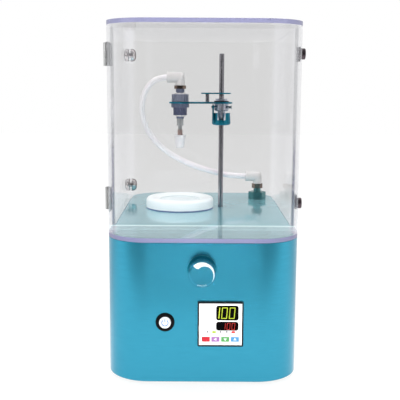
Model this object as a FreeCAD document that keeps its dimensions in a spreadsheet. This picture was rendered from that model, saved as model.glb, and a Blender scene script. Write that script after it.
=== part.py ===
import FreeCAD, Part
import math
import os
import Sketcher

# Sample evaporator: a sheet metal base with a heated place for a vial, an acrylic cover with a hinged door,
# and an arm on a rod that holds the hollow plug over the vial. Millimetres, Z up, front towards minus Y.
# The origin is on the floor, under the middle of the whole object.

VECTOR = FreeCAD.Vector
SHEET = "Sizes"

SIZES = [
    ("Base and cover", None, None),
    ("body_width", 205, "outside width of the base and of the cover"),
    ("body_depth", 340, "outside depth of the base and of the cover"),
    ("corner_radius", 45, "upright corners of base and cover, seen from above"),
    ("foot_height", 3, "rubber feet under the base"),
    ("foot_diameter", 18, ""),
    ("base_height", 150, "painted housing, from its lower edge to its top"),
    ("cover_height", 227, "from the top of the base to the top of the cover"),
    ("housing_sheet", 1.5, "sheet of the housing"),
    ("pan_thickness", 2, "bottom pan"),
    ("post_diameter", 10, "four posts between pan and housing top"),
    ("post_side_inset", 26, "post centre from the side of the base"),
    ("post_end_inset", 30, "post centre from the front or rear of the base"),
    ("plate_thickness", 4.5, "top and bottom plates of the acrylic cover"),
    ("wall_thickness", 3.5, "upright acrylic walls"),
    ("seam_depth", 75, "from the front of the base to the seam of the door"),
    ("seam_gap", 0.3, "between the door and the fixed cover"),
    ("door_gap", 0.3, "between the door and the top of the base"),
    ("fit_gap", 0.2, "round a piece that sits in a cut-out"),
    ("running_gap", 0.05, "radial clearance of a running fit"),
    ("overcut", 1, "how far a bore starts outside the piece it goes through"),
    ("Hinges, catches and cover bolts", None, None),
    ("hinge_height", 25, ""),
    ("hinge_upper_drop", 33, "middle of the upper hinge below the top of the cover"),
    ("hinge_lower_rise", 35.5, "middle of the lower hinge above the base"),
    ("leaf_width", 20, "hinge leaf from the seam"),
    ("leaf_thickness", 1.2, ""),
    ("knuckle_diameter", 6, ""),
    ("knuckle_offset", 4.5, "hinge axis from the side of the cover"),
    ("knuckle_gap", 0.3, ""),
    ("pin_diameter", 2.5, ""),
    ("catch_diameter", 12, "round catch knobs on the door"),
    ("catch_reach", 7, "catch knobs from the side of the cover"),
    ("catch_upper_drop", 31.5, "middle of the upper catch below the top of the cover"),
    ("catch_lower_rise", 32, "middle of the lower catch above the base"),
    ("strike_width", 12, "steel strike of a catch, along the side"),
    ("strike_height", 16, ""),
    ("strike_thickness", 3, ""),
    ("bolt_head_diameter", 17, "domed bolts through the left wall of the cover"),
    ("bolt_head_height", 6.8, "dome inside the cover"),
    ("bolt_outer_height", 6.1, "dome outside the cover"),
    ("bolt_stem_diameter", 6, ""),
    ("bolt_inset", 53.5, "bolts from the rear of the cover"),
    ("bolt_upper_drop", 25.4, "upper bolt below the top of the cover"),
    ("bolt_lower_rise", 22.6, "lower bolt above the base"),
    ("Heated place", None, None),
    ("heater_side", -29.4, "heater centre, to the right of the middle plane"),
    ("heater_inset", 137, "heater centre from the rear of the base"),
    ("ring_diameter", 86.6, "white ring round the heater block"),
    ("ring_height", 14, ""),
    ("ring_edge_radius", 4.5, ""),
    ("ring_lip_diameter", 68, "where the top of the ring starts to fall inwards"),
    ("ring_dish_drop", 2.5, ""),
    ("block_diameter", 49, "heater block"),
    ("block_recess", 3.5, "block top under the ring top"),
    ("block_height", 50, ""),
    ("block_gap", 1, "round the block in the ring, the deck and the housing"),
    ("flange_diameter", 74, ""),
    ("flange_thickness", 5, ""),
    ("spacer_diameter", 8, ""),
    ("spacer_circle", 31, "radius on which the three spacers stand"),
    ("Rod", None, None),
    ("rod_side", 23.3, ""),
    ("rod_inset", 133.5, "rod from the rear of the base"),
    ("rod_diameter", 6.35, ""),
    ("rod_height", 196.5, "above the deck"),
    ("rod_thread_diameter", 5, ""),
    ("rod_thread_length", 14, "below the deck"),
    ("rod_nut_width", 10, "across flats"),
    ("rod_nut_height", 4, ""),
    ("Arm", None, None),
    ("arm_level", 133.7, "underside of the arm plate above the deck"),
    ("arm_plate_thickness", 2, ""),
    ("arm_end_radius", 14, ""),
    ("guide_plate_thickness", 1.6, ""),
    ("guide_gap", 10.1, "between arm plate and guide plate"),
    ("guide_hub_radius", 12, ""),
    ("guide_end_radius", 8, ""),
    ("post_reach", 18, "guide post from the rod, along the arm"),
    ("guide_post_diameter", 4.8, ""),
    ("collar_diameter", 18.5, ""),
    ("collar_height", 9.4, ""),
    ("collar_neck_diameter", 9.4, "threaded neck through the arm plate"),
    ("washer_diameter", 18.8, ""),
    ("washer_thickness", 1.3, ""),
    ("clamp_nut_width", 13, "across flats"),
    ("clamp_nut_height", 2.9, ""),
    ("collet_diameter", 10, ""),
    ("collet_tip_diameter", 7.6, ""),
    ("collet_band_height", 5.1, "straight band under the collar"),
    ("collet_cone_height", 6.5, ""),
    ("clamp_pin_diameter", 3, ""),
    ("clamp_pin_offset", 6.2, "cross pin in front of the rod"),
    ("clamp_pin_drop", 4.5, "cross pin below the arm plate"),
    ("clamp_pin_reach", 12.8, "each end of the pin from the rod"),
    ("lever_top_radius", 11.2, "outside of the lever skirt"),
    ("lever_foot_radius", 12.2, ""),
    ("lever_sheet", 1.5, ""),
    ("lever_skirt_top", 11.7, "top of the skirt below the arm plate"),
    ("lever_skirt_height", 15.6, ""),
    ("lever_floor_bore", 9.4, "opening in the floor of the skirt round the rod"),
    ("lever_window", 10, "width of the front window"),
    ("lever_lip", 6.5, "band left under the window"),
    ("strap_width", 7, ""),
    ("strap_thickness", 2, ""),
    ("Plug", None, None),
    ("passage_diameter", 3, "air passage through the plug"),
    ("upper_nut_diameter", 21.6, ""),
    ("upper_nut_height", 9.6, ""),
    ("plug_flange_diameter", 22.9, ""),
    ("plug_flange_height", 5.1, "under the arm plate"),
    ("plug_stem_diameter", 14, ""),
    ("plug_neck_diameter", 9.7, ""),
    ("plug_neck_height", 4.3, "below the lower nut"),
    ("lower_nut_diameter", 17.4, ""),
    ("lower_nut_height", 9.7, ""),
    ("nut_rib_count", 18, "ribs of the round nuts"),
    ("nut_rib_depth", 0.8, ""),
    ("nut_groove_width", 1.6, ""),
    ("plug_seal_diameter", 9.5, ""),
    ("plug_seal_height", 2.7, ""),
    ("plug_collar_diameter", 11.3, ""),
    ("plug_collar_height", 4, ""),
    ("tube_diameter", 8.6, ""),
    ("tube_length", 9, ""),
    ("tube_tail_diameter", 5.1, ""),
    ("tube_tail_length", 5.3, ""),
    ("sleeve_diameter", 6.3, ""),
    ("sleeve_length", 6.8, ""),
    ("cone_top_diameter", 14.4, ""),
    ("cone_tip_diameter", 10, ""),
    ("cone_length", 16.1, ""),
    ("cone_rim", 2.5, "straight rim at the top of the cone"),
    ("Hose fittings", None, None),
    ("port_side", 77, "hose port, to the right of the middle plane"),
    ("port_inset", 57, "hose port from the rear of the base"),
    ("port_nut_width", 21, "across flats"),
    ("port_nut_height", 9.7, ""),
    ("port_thread_diameter", 12, ""),
    ("port_thread_length", 16, "below the deck"),
    ("port_neck_height", 5.1, "from the port nut to the hexagon"),
    ("fitting_hex_width", 13, "across flats"),
    ("port_hex_height", 6.4, ""),
    ("plug_hex_height", 4.3, ""),
    ("fitting_stem_diameter", 10, ""),
    ("elbow_leg_diameter", 12, "upright leg"),
    ("elbow_socket_diameter", 13.8, "level leg, which takes the hose"),
    ("elbow_rise", 10.3, "socket axis above the hexagon"),
    ("elbow_reach", 16.8, "socket mouth from the upright axis"),
    ("elbow_back", 5.4, "socket end behind the upright axis"),
    ("hose_diameter", 7.5, ""),
    ("hose_fit", 0.2, "radial clearance round the hose"),
    ("socket_depth", 6.8, ""),
    ("Flow knob and valve", None, None),
    ("knob_side", -1.2, ""),
    ("knob_drop", 27.5, "knob axis below the top of the base"),
    ("knob_diameter", 28, ""),
    ("knob_waist_diameter", 26.4, "smallest diameter, at the back"),
    ("knob_reach", 22, "knob face from the front of the base"),
    ("knob_edge_radius", 2.2, ""),
    ("dial_diameter", 30, "ring nut between knob and housing"),
    ("dial_thickness", 1.6, ""),
    ("knob_gap", 0.5, "between knob and ring nut"),
    ("spindle_diameter", 6, ""),
    ("spindle_length", 20, "inside the valve"),
    ("bush_diameter", 10, ""),
    ("valve_width", 26, ""),
    ("valve_height", 30, ""),
    ("valve_length", 28, ""),
    ("Power switch", None, None),
    ("switch_side", -39.5, ""),
    ("switch_level", 68.5, ""),
    ("switch_diameter", 20, ""),
    ("switch_reach", 2, ""),
    ("switch_barrel", 16, ""),
    ("switch_barrel_length", 24, ""),
    ("button_diameter", 12.3, ""),
    ("button_reach", 3, "button face from the front of the base"),
    ("button_length", 9, ""),
    ("button_cavity", 14, "depth of the bore for the button"),
    ("Temperature controller", None, None),
    ("controller_side", 18.6, ""),
    ("controller_level", 67, ""),
    ("bezel_size", 48, "square bezel"),
    ("bezel_reach", 3, ""),
    ("bezel_corner", 1.5, ""),
    ("bezel_frame", 1.4, "black frame round the face"),
    ("case_size", 44.6, "body behind the panel"),
    ("case_length", 60, ""),
    ("face_thickness", 0.8, ""),
    ("face_recess", 1.2, ""),
    ("display_width", 23.2, ""),
    ("display_side", 7.1, "display centre from the controller centre"),
    ("upper_display_height", 15.8, ""),
    ("upper_display_level", 12.4, "centre above the controller centre"),
    ("lower_display_height", 9.4, ""),
    ("lower_display_drop", 1.8, "centre below the controller centre"),
    ("display_thickness", 1.0, ""),
    ("display_corner", 1, ""),
    ("lamp_diameter", 1.8, ""),
    ("lamp_pitch", 6.7, ""),
    ("lamp_drop", 8.1, "lamps below the controller centre"),
    ("lamp_count", 5, ""),
    ("lamp_length", 1.1, ""),
    ("key_width", 8.2, ""),
    ("key_height", 5.1, ""),
    ("key_pitch", 10.2, ""),
    ("key_drop", 16.2, "keys below the controller centre"),
    ("key_thickness", 2.2, ""),
    ("key_pocket", 2.4, "depth behind the face for the keys"),
    ("key_gap", 0.15, ""),
    ("key_count", 4, ""),
    ("Rear of the base", None, None),
    ("inlet_side", -52, ""),
    ("inlet_level", 36, ""),
    ("inlet_flange_width", 48, ""),
    ("inlet_flange_height", 23, ""),
    ("inlet_flange_thickness", 2.5, ""),
    ("inlet_body_width", 27.4, ""),
    ("inlet_body_height", 19.8, ""),
    ("inlet_body_length", 24, ""),
    ("inlet_socket_width", 24.4, ""),
    ("inlet_socket_height", 16.4, ""),
    ("inlet_socket_depth", 18, ""),
    ("inlet_blade_width", 2, ""),
    ("inlet_blade_height", 4, ""),
    ("inlet_blade_length", 12.5, ""),
    ("inlet_blade_pitch", 7, ""),
    ("barb_side", 46, ""),
    ("barb_drop", 43, "barb axis below the top of the base"),
    ("barb_reach", 22, "tip of the hose barb from the rear of the base"),
    ("barb_diameter", 9, ""),
    ("barb_root_diameter", 7.4, ""),
    ("barb_land", 0.8, "straight crest of each ridge"),
    ("barb_bore", 4.5, ""),
    ("barb_hex_width", 17, "across flats"),
    ("barb_hex_height", 5, ""),
    ("lock_nut_width", 18, "across flats"),
    ("lock_nut_height", 4, ""),
    ("supply_width", 96, "power supply on the pan"),
    ("supply_depth", 62, ""),
    ("supply_height", 32, ""),
    ("supply_side", 24, ""),
    ("supply_inset", 40, "rear of the supply from the rear of the base"),
]

# The hose from the bore of the port elbow to the bore of the plug elbow: x, y, z of each point of its route.
HOSE_ROUTE = [
    (67.0, 113.0, 189.3),
    (41.0, 113.0, 189.3),
    (12.0, 101.0, 197.2),
    (-19.9, 90.0, 208.5),
    (-49.6, 78.0, 226.2),
    (-70.2, 66.0, 247.8),
    (-79.8, 55.0, 273.6),
    (-79.1, 46.0, 296.6),
    (-71.3, 38.5, 313.2),
    (-56.8, 33.0, 324.4),
    (-39.4, 33.0, 324.4),
]
ARC_SHARE = 0.45
DOME_SHARE = 0.86

DOC = FreeCAD.newDocument("SampleEvaporator")
PARTS = []


class Size:
    """A number that remembers the expression on the sheet it comes from."""

    def __init__(self, value, text):
        self.value = float(value)
        self.text = text

    def __add__(self, other):
        other = as_size(other)
        return Size(self.value + other.value, "(%s + %s)" % (self.text, other.text))

    def __sub__(self, other):
        other = as_size(other)
        return Size(self.value - other.value, "(%s - %s)" % (self.text, other.text))

    def __mul__(self, other):
        other = as_size(other)
        return Size(self.value * other.value, "(%s * %s)" % (self.text, other.text))

    def __truediv__(self, other):
        other = as_size(other)
        return Size(self.value / other.value, "(%s / %s)" % (self.text, other.text))

    def __neg__(self):
        return Size(-self.value, "(0 - %s)" % self.text)

    def __radd__(self, other):
        return as_size(other) + self

    def __rsub__(self, other):
        return as_size(other) - self

    def __rmul__(self, other):
        return as_size(other) * self

    def root(self):
        return Size(math.sqrt(self.value), "sqrt(%s)" % self.text)


def as_size(thing):
    return thing if isinstance(thing, Size) else Size(thing, repr(float(thing)))


class SizeTable:
    """The driving sizes, kept on a spreadsheet and read by name."""

    def __init__(self):
        self.sheet = DOC.addObject("Spreadsheet::Sheet", SHEET)
        for row, (name, value, note) in enumerate(SIZES, start=1):
            self.sheet.set("A%d" % row, name)
            if value is None:
                continue
            self.sheet.set("B%d" % row, str(value))
            self.sheet.setAlias("B%d" % row, name)
            self.sheet.set("C%d" % row, note)
        DOC.recompute()

    def __getattr__(self, name):
        return Size(self.sheet.get(name), "%s.%s" % (SHEET, name))


S = SizeTable()

# Levels and depths that several pieces share
FRONT = -(S.body_depth + S.barb_reach - S.knob_reach) / 2
REAR = FRONT + S.body_depth
SIDE = S.body_width / 2
BASE_TOP = S.foot_height + S.base_height
COVER_TOP = BASE_TOP + S.cover_height
CEILING = COVER_TOP - S.plate_thickness
DECK_THICKNESS = S.door_gap + S.plate_thickness
DECK_TOP = BASE_TOP + DECK_THICKNESS
SHEET_UNDERSIDE = BASE_TOP - S.housing_sheet
SEAM = FRONT + S.seam_depth
DOOR_EDGE = SEAM - S.seam_gap / 2
COVER_EDGE = SEAM + S.seam_gap / 2
HEATER = (S.heater_side, REAR - S.heater_inset)
ROD = (S.rod_side, REAR - S.rod_inset)
PORT = (S.port_side, REAR - S.port_inset)
HINGE_AXIS = (-SIDE - S.knuckle_offset, SEAM)
ARM_UNDERSIDE = DECK_TOP + S.arm_level
ARM_TOP = ARM_UNDERSIDE + S.arm_plate_thickness
GUIDE_UNDERSIDE = ARM_TOP + S.guide_gap
PANEL_BACK = FRONT + S.housing_sheet
KNOB_LEVEL = BASE_TOP - S.knob_drop
BARB_LEVEL = BASE_TOP - S.barb_drop
HINGE_LEVELS = (COVER_TOP - S.hinge_upper_drop, BASE_TOP + S.hinge_lower_rise)
CATCH_LEVELS = (COVER_TOP - S.catch_upper_drop, BASE_TOP + S.catch_lower_rise)
BOLT_LEVELS = (COVER_TOP - S.bolt_upper_drop, BASE_TOP + S.bolt_lower_rise)
BOLT_DEPTH = REAR - S.bolt_inset
WALL_CUT = 20
FULL_TURN = 360

DIRECTIONS = {
    "up": FreeCAD.Rotation(),
    "down": FreeCAD.Rotation(VECTOR(1, 0, 0), 180),
    "back": FreeCAD.Rotation(VECTOR(1, 0, 0), -90),
    "front": FreeCAD.Rotation(VECTOR(1, 0, 0), 90),
    "right": FreeCAD.Rotation(VECTOR(0, 1, 0), 90),
    "left": FreeCAD.Rotation(VECTOR(0, 1, 0), -90),
}


# Helpers that place things and bind their sizes

def bind(thing, **links):
    for name, size in links.items():
        path = name.replace("__", ".")
        thing.setExpression(path, as_size(size).text)


def place(thing, at, direction="up"):
    x, y, z = (as_size(part) for part in at)
    thing.Placement = FreeCAD.Placement(VECTOR(x.value, y.value, z.value), DIRECTIONS[direction])
    bind(thing, Placement__Base__x=x, Placement__Base__y=y, Placement__Base__z=z)
    return thing


def box(name, low, size):
    thing = DOC.addObject("Part::Box", name)
    bind(thing, Length=size[0], Width=size[1], Height=size[2])
    return place(thing, low)


def centred_box(name, centre, size):
    low = [as_size(middle) - as_size(whole) / 2 for middle, whole in zip(centre, size)]
    return box(name, low, size)


def cylinder(name, at, diameter, height, direction="up"):
    thing = DOC.addObject("Part::Cylinder", name)
    bind(thing, Radius=as_size(diameter) / 2, Height=height)
    return place(thing, at, direction)


def prism(name, at, across_flats, height, direction="up"):
    thing = DOC.addObject("Part::Prism", name)
    thing.Polygon = 6
    bind(thing, Circumradius=across_flats / (as_size(3).root()), Height=height)
    return place(thing, at, direction)


def cut(name, base, *tools):
    thing = DOC.addObject("Part::Cut", name)
    thing.Base = base
    thing.Tool = tools[0] if len(tools) == 1 else group(name + "_tools", tools)
    return thing


def fuse(name, *shapes):
    thing = DOC.addObject("Part::MultiFuse", name)
    thing.Shapes = list(shapes)
    return thing


def common(name, *shapes):
    thing = DOC.addObject("Part::MultiCommon", name)
    thing.Shapes = list(shapes)
    return thing


def group(name, shapes):
    thing = DOC.addObject("Part::Compound", name)
    thing.Links = list(shapes)
    return thing


def keep(label, thing):
    thing.Label = label
    PARTS.append((label, thing))
    return thing


# Helpers that draw sketches and make bodies from them

def new_body(name):
    return DOC.addObject("PartDesign::Body", name)


def new_sketch(body, name, plane, level=0):
    sketch = body.newObject("Sketcher::SketchObject", name)
    support = [feature for feature in body.Origin.OriginFeatures if feature.Role == plane][0]
    sketch.AttachmentSupport = [(support, "")]
    sketch.MapMode = "FlatFace"
    bind(sketch, AttachmentOffset__Base__z=level)
    return sketch


def fix_distance(sketch, kind, geometry, point, size):
    size = as_size(size)
    number = sketch.addConstraint(Sketcher.Constraint(kind, -1, 1, geometry, point, size.value))
    label = "%s%d" % (kind, number)
    sketch.renameConstraint(number, label)
    sketch.setExpression("Constraints." + label, size.text)


def fix_radius(sketch, geometry, size):
    size = as_size(size)
    number = sketch.addConstraint(Sketcher.Constraint("Radius", geometry, size.value))
    label = "Radius%d" % number
    sketch.renameConstraint(number, label)
    sketch.setExpression("Constraints." + label, size.text)


def draw_circle(sketch, centre, radius):
    x, y, radius = as_size(centre[0]), as_size(centre[1]), as_size(radius)
    circle = Part.Circle(VECTOR(x.value, y.value, 0), VECTOR(0, 0, 1), radius.value)
    number = sketch.addGeometry(circle)
    fix_distance(sketch, "DistanceX", number, 3, x)
    fix_distance(sketch, "DistanceY", number, 3, y)
    fix_radius(sketch, number, radius)


def rounding(before, corner, after, radius):
    """Where the arc that rounds a corner starts, its middle, where it ends, and its centre."""
    back = (before - corner).normalize()
    ahead = (after - corner).normalize()
    half = back.getAngle(ahead) / 2
    run = radius / math.tan(half)
    middle = (back + ahead).normalize()
    centre = corner + middle * (radius / math.sin(half))
    return corner + back * run, centre - middle * radius, corner + ahead * run, centre


def add_corner_arc(sketch, start, end, centre):
    """An arc of less than half a turn, and which of its ends is the start that was asked for."""
    from_start = start - centre
    from_end = end - centre
    turns_left = from_start.cross(from_end).z > 0
    first, last = (from_start, from_end) if turns_left else (from_end, from_start)
    circle = Part.Circle(centre, VECTOR(0, 0, 1), from_start.Length)
    first_angle = math.atan2(first.y, first.x)
    last_angle = math.atan2(last.y, last.x)
    if last_angle < first_angle:
        last_angle += 2 * math.pi
    number = sketch.addGeometry(Part.ArcOfCircle(circle, first_angle, last_angle))
    return number, (1, 2) if turns_left else (2, 1)


def draw_loop(sketch, corners):
    """A closed loop through corners (x, y) or (x, y, radius), held by its corner points."""
    sizes = [[as_size(part) for part in corner] for corner in corners]
    points = [VECTOR(corner[0].value, corner[1].value, 0) for corner in sizes]
    count = len(points)
    leave = []
    reach = []
    arcs = []
    for i, corner in enumerate(sizes):
        if len(corner) == 3:
            arc = rounding(points[i - 1], points[i], points[(i + 1) % count], corner[2].value)
            arcs.append(arc)
            reach.append(arc[0])
            leave.append(arc[2])
        else:
            arcs.append(None)
            reach.append(points[i])
            leave.append(points[i])
    lines = []
    for i in range(count):
        lines.append(sketch.addGeometry(Part.LineSegment(leave[i], reach[(i + 1) % count])))
    for i, corner in enumerate(sizes):
        marker = sketch.addGeometry(Part.Point(points[i]), True)
        fix_distance(sketch, "DistanceX", marker, 1, corner[0])
        fix_distance(sketch, "DistanceY", marker, 1, corner[1])
        before = lines[i - 1]
        after = lines[i]
        if arcs[i] is None:
            sketch.addConstraint(Sketcher.Constraint("Coincident", before, 2, marker, 1))
            sketch.addConstraint(Sketcher.Constraint("Coincident", after, 1, marker, 1))
            continue
        start, _, end, centre = arcs[i]
        number, (first, last) = add_corner_arc(sketch, start, end, centre)
        sketch.addConstraint(Sketcher.Constraint("PointOnObject", marker, 1, before))
        sketch.addConstraint(Sketcher.Constraint("PointOnObject", marker, 1, after))
        sketch.addConstraint(Sketcher.Constraint("Tangent", before, 2, number, first))
        sketch.addConstraint(Sketcher.Constraint("Tangent", number, last, after, 1))
        fix_radius(sketch, number, corner[2])


def add_pad(body, name, sketch, length):
    pad = body.newObject("PartDesign::Pad", name)
    pad.Profile = sketch
    bind(pad, Length=length)
    return pad


def plate(name, corners, level, thickness, holes=()):
    """A flat plate from its outline and its round holes (x, y, diameter)."""
    body = new_body(name)
    sketch = new_sketch(body, name + "_outline", "XY_Plane", level)
    draw_loop(sketch, corners)
    for x, y, diameter in holes:
        draw_circle(sketch, (x, y), as_size(diameter) / 2)
    add_pad(body, name + "_pad", sketch, thickness)
    return body


def turned(name, profile, at, direction="up"):
    """A turned piece from its half profile (radius, height)."""
    body = new_body(name)
    sketch = new_sketch(body, name + "_profile", "XZ_Plane")
    draw_loop(sketch, profile)
    turn = body.newObject("PartDesign::Revolution", name + "_turn")
    turn.Profile = sketch
    turn.ReferenceAxis = (sketch, ["V_Axis"])
    turn.Angle = FULL_TURN
    return place(body, at, direction)


def ribbed_nut(name, diameter, height, bore, at):
    """A round nut with grooves cut round its rim."""
    body = new_body(name)
    outline = new_sketch(body, name + "_outline", "XY_Plane")
    draw_circle(outline, (0, 0), diameter / 2)
    draw_circle(outline, (0, 0), bore / 2)
    add_pad(body, name + "_pad", outline, height)
    groove = new_sketch(body, name + "_groove", "XY_Plane")
    low = diameter / 2 - S.nut_rib_depth
    high = diameter / 2 + S.nut_rib_depth
    half = S.nut_groove_width / 2
    draw_loop(groove, [(low, -half), (high, -half), (high, half), (low, half)])
    DOC.recompute()
    pocket = body.newObject("PartDesign::Pocket", name + "_pocket")
    pocket.Profile = groove
    pocket.Type = "ThroughAll"
    pocket.SideType = "Symmetric"
    grooves = body.newObject("PartDesign::PolarPattern", name + "_grooves")
    grooves.Originals = [pocket]
    grooves.Axis = (groove, ["N_Axis"])
    grooves.Angle = FULL_TURN
    bind(grooves, Occurrences=S.nut_rib_count)
    body.Tip = grooves
    return place(body, at)


def rounded_outline(inset, front, back):
    """Outline of base and cover, moved in by an inset, between two depths."""
    side = SIDE - inset
    radius = S.corner_radius - inset
    return [(-side, front, radius), (side, front, radius), (side, back, radius), (-side, back, radius)]


# Base

def make_housing():
    body = new_body("housing")
    walls = new_sketch(body, "housing_walls", "XY_Plane", S.foot_height)
    draw_loop(walls, rounded_outline(0, FRONT, REAR))
    draw_loop(walls, rounded_outline(S.housing_sheet, PANEL_BACK, REAR - S.housing_sheet))
    add_pad(body, "housing_wall_pad", walls, S.base_height)
    top = new_sketch(body, "housing_top", "XY_Plane", SHEET_UNDERSIDE)
    draw_loop(top, rounded_outline(0, FRONT, REAR))
    draw_circle(top, HEATER, S.block_diameter / 2 + S.block_gap)
    draw_circle(top, ROD, S.rod_thread_diameter / 2 + S.fit_gap)
    draw_circle(top, PORT, S.port_thread_diameter / 2 + S.fit_gap)
    add_pad(body, "housing_top_pad", top, S.housing_sheet)
    through = S.housing_sheet + WALL_CUT
    front_start = FRONT - WALL_CUT / 2
    rear_start = REAR - S.housing_sheet - WALL_CUT / 2
    case_hole = S.case_size + 2 * S.fit_gap
    openings = [
        cylinder("knob_hole", (S.knob_side, front_start, KNOB_LEVEL), S.bush_diameter + 2 * S.fit_gap,
                 through, "back"),
        cylinder("switch_hole", (S.switch_side, front_start, S.switch_level), S.switch_barrel + 2 * S.fit_gap,
                 through, "back"),
        box("controller_hole", (S.controller_side - case_hole / 2, front_start,
                                S.controller_level - case_hole / 2), (case_hole, through, case_hole)),
        box("inlet_hole", (S.inlet_side - S.inlet_body_width / 2 - S.fit_gap, rear_start,
                           S.inlet_level - S.inlet_body_height / 2 - S.fit_gap),
            (S.inlet_body_width + 2 * S.fit_gap, through, S.inlet_body_height + 2 * S.fit_gap)),
        cylinder("barb_hole", (S.barb_side, rear_start, BARB_LEVEL),
                 S.port_thread_diameter + 2 * S.fit_gap, through, "back"),
    ]
    keep("base_housing", cut("housing_cut", body, *openings))


def corner_places():
    across = SIDE - S.post_side_inset
    near = FRONT + S.post_end_inset
    far = REAR - S.post_end_inset
    return [(-across, near), (across, near), (-across, far), (across, far)]


def make_pan_and_feet():
    inset = S.housing_sheet + S.fit_gap
    outline = rounded_outline(inset, FRONT + inset, REAR - inset)
    pan = plate("pan", outline, S.foot_height, S.pan_thickness)
    floor_level = S.foot_height + S.pan_thickness
    posts = [cylinder("post_%d" % i, (x, y, floor_level), S.post_diameter, SHEET_UNDERSIDE - floor_level)
             for i, (x, y) in enumerate(corner_places(), start=1)]
    keep("base_pan", fuse("pan_with_posts", pan, *posts))
    chamfer = S.foot_height / 3
    radius = S.foot_diameter / 2
    profile = [(0, 0), (radius - chamfer, 0), (radius, chamfer), (radius, S.foot_height), (0, S.foot_height)]
    feet = [turned("foot_%d" % i, profile, (x, y, 0)) for i, (x, y) in enumerate(corner_places(), start=1)]
    keep("rubber_feet", group("feet", feet))


def make_deck():
    inset = S.wall_thickness + S.fit_gap
    side = SIDE - inset
    back = REAR - inset
    radius = S.corner_radius - inset
    outline = [(-side, COVER_EDGE), (side, COVER_EDGE), (side, back, radius), (-side, back, radius)]
    holes = [
        (HEATER[0], HEATER[1], S.block_diameter + 2 * S.block_gap),
        (ROD[0], ROD[1], S.rod_thread_diameter + 2 * S.fit_gap),
        (PORT[0], PORT[1], S.port_thread_diameter + 2 * S.fit_gap),
    ]
    keep("deck_plate", plate("deck", outline, BASE_TOP, DECK_THICKNESS, holes))


# Heated place

def make_heater():
    bore = S.block_diameter / 2 + S.block_gap
    rim = S.ring_diameter / 2
    ring = [
        (bore, 0),
        (rim, 0),
        (rim, S.ring_height, S.ring_edge_radius),
        (S.ring_lip_diameter / 2, S.ring_height),
        (bore, S.ring_height - S.ring_dish_drop),
    ]
    keep("heater_ring", turned("ring", ring, (HEATER[0], HEATER[1], DECK_TOP)))
    block_bottom = DECK_TOP + S.ring_height - S.block_recess - S.block_height
    block = [
        (0, 0),
        (S.flange_diameter / 2, 0),
        (S.flange_diameter / 2, S.flange_thickness),
        (S.block_diameter / 2, S.flange_thickness),
        (S.block_diameter / 2, S.block_height),
        (0, S.block_height),
    ]
    keep("heater_block", turned("block", block, (HEATER[0], HEATER[1], block_bottom)))
    flange_top = block_bottom + S.flange_thickness
    spacers = []
    for i in range(3):
        angle = math.radians(90 + i * FULL_TURN / 3)
        x = HEATER[0] + S.spacer_circle * math.cos(angle)
        y = HEATER[1] + S.spacer_circle * math.sin(angle)
        spacers.append(cylinder("spacer_%d" % i, (x, y, flange_top), S.spacer_diameter,
                                SHEET_UNDERSIDE - flange_top))
    keep("heater_spacers", group("spacers", spacers))


# Rod

def make_rod():
    thread = S.rod_thread_diameter / 2
    radius = S.rod_diameter / 2
    chamfer = S.rod_diameter / 8
    profile = [
        (0, -S.rod_thread_length),
        (thread, -S.rod_thread_length),
        (thread, 0),
        (radius, 0),
        (radius, S.rod_height - chamfer),
        (radius - chamfer, S.rod_height),
        (0, S.rod_height),
    ]
    keep("support_rod", turned("rod", profile, (ROD[0], ROD[1], DECK_TOP)))
    nut_level = SHEET_UNDERSIDE - S.rod_nut_height
    nut = prism("rod_nut_hex", (ROD[0], ROD[1], nut_level), S.rod_nut_width, S.rod_nut_height)
    bore = cylinder("rod_nut_bore", (ROD[0], ROD[1], nut_level), S.rod_thread_diameter + 2 * S.running_gap,
                    S.rod_nut_height)
    keep("rod_nut", cut("rod_nut_cut", nut, bore))


# Fixed cover and door

def make_cover():
    back_inset = REAR - S.wall_thickness
    inner = SIDE - S.wall_thickness
    radius = S.corner_radius
    inner_radius = radius - S.wall_thickness
    wall = [
        (SIDE, COVER_EDGE),
        (SIDE, REAR, radius),
        (-SIDE, REAR, radius),
        (-SIDE, COVER_EDGE),
        (-inner, COVER_EDGE),
        (-inner, back_inset, inner_radius),
        (inner, back_inset, inner_radius),
        (inner, COVER_EDGE),
    ]
    body = plate("cover_wall_body", wall, BASE_TOP, CEILING - BASE_TOP)
    bores = [cylinder("bolt_bore_%d" % i, (-SIDE - S.overcut, BOLT_DEPTH, level),
                      S.bolt_stem_diameter + 2 * S.fit_gap, S.wall_thickness + 2 * S.overcut, "right")
             for i, level in enumerate(BOLT_LEVELS)]
    keep("cover_wall", cut("cover_wall_cut", body, *bores))
    roof = [(-SIDE, COVER_EDGE), (SIDE, COVER_EDGE), (SIDE, REAR, radius), (-SIDE, REAR, radius)]
    keep("cover_top", plate("cover_top_body", roof, CEILING, S.plate_thickness))


def make_door():
    inner = SIDE - S.wall_thickness
    radius = S.corner_radius
    inner_radius = radius - S.wall_thickness
    floor_level = BASE_TOP + S.door_gap
    wall_level = floor_level + S.plate_thickness
    wall = [
        (-SIDE, DOOR_EDGE),
        (-SIDE, FRONT, radius),
        (SIDE, FRONT, radius),
        (SIDE, DOOR_EDGE),
        (inner, DOOR_EDGE),
        (inner, FRONT + S.wall_thickness, inner_radius),
        (-inner, FRONT + S.wall_thickness, inner_radius),
        (-inner, DOOR_EDGE),
    ]
    keep("door_wall", plate("door_wall_body", wall, wall_level, CEILING - wall_level))
    lid = [(-SIDE, FRONT, radius), (SIDE, FRONT, radius), (SIDE, DOOR_EDGE), (-SIDE, DOOR_EDGE)]
    keep("door_top", plate("door_top_body", lid, CEILING, S.plate_thickness))
    keep("door_bottom", plate("door_bottom_body", lid, floor_level, S.plate_thickness))


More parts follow.
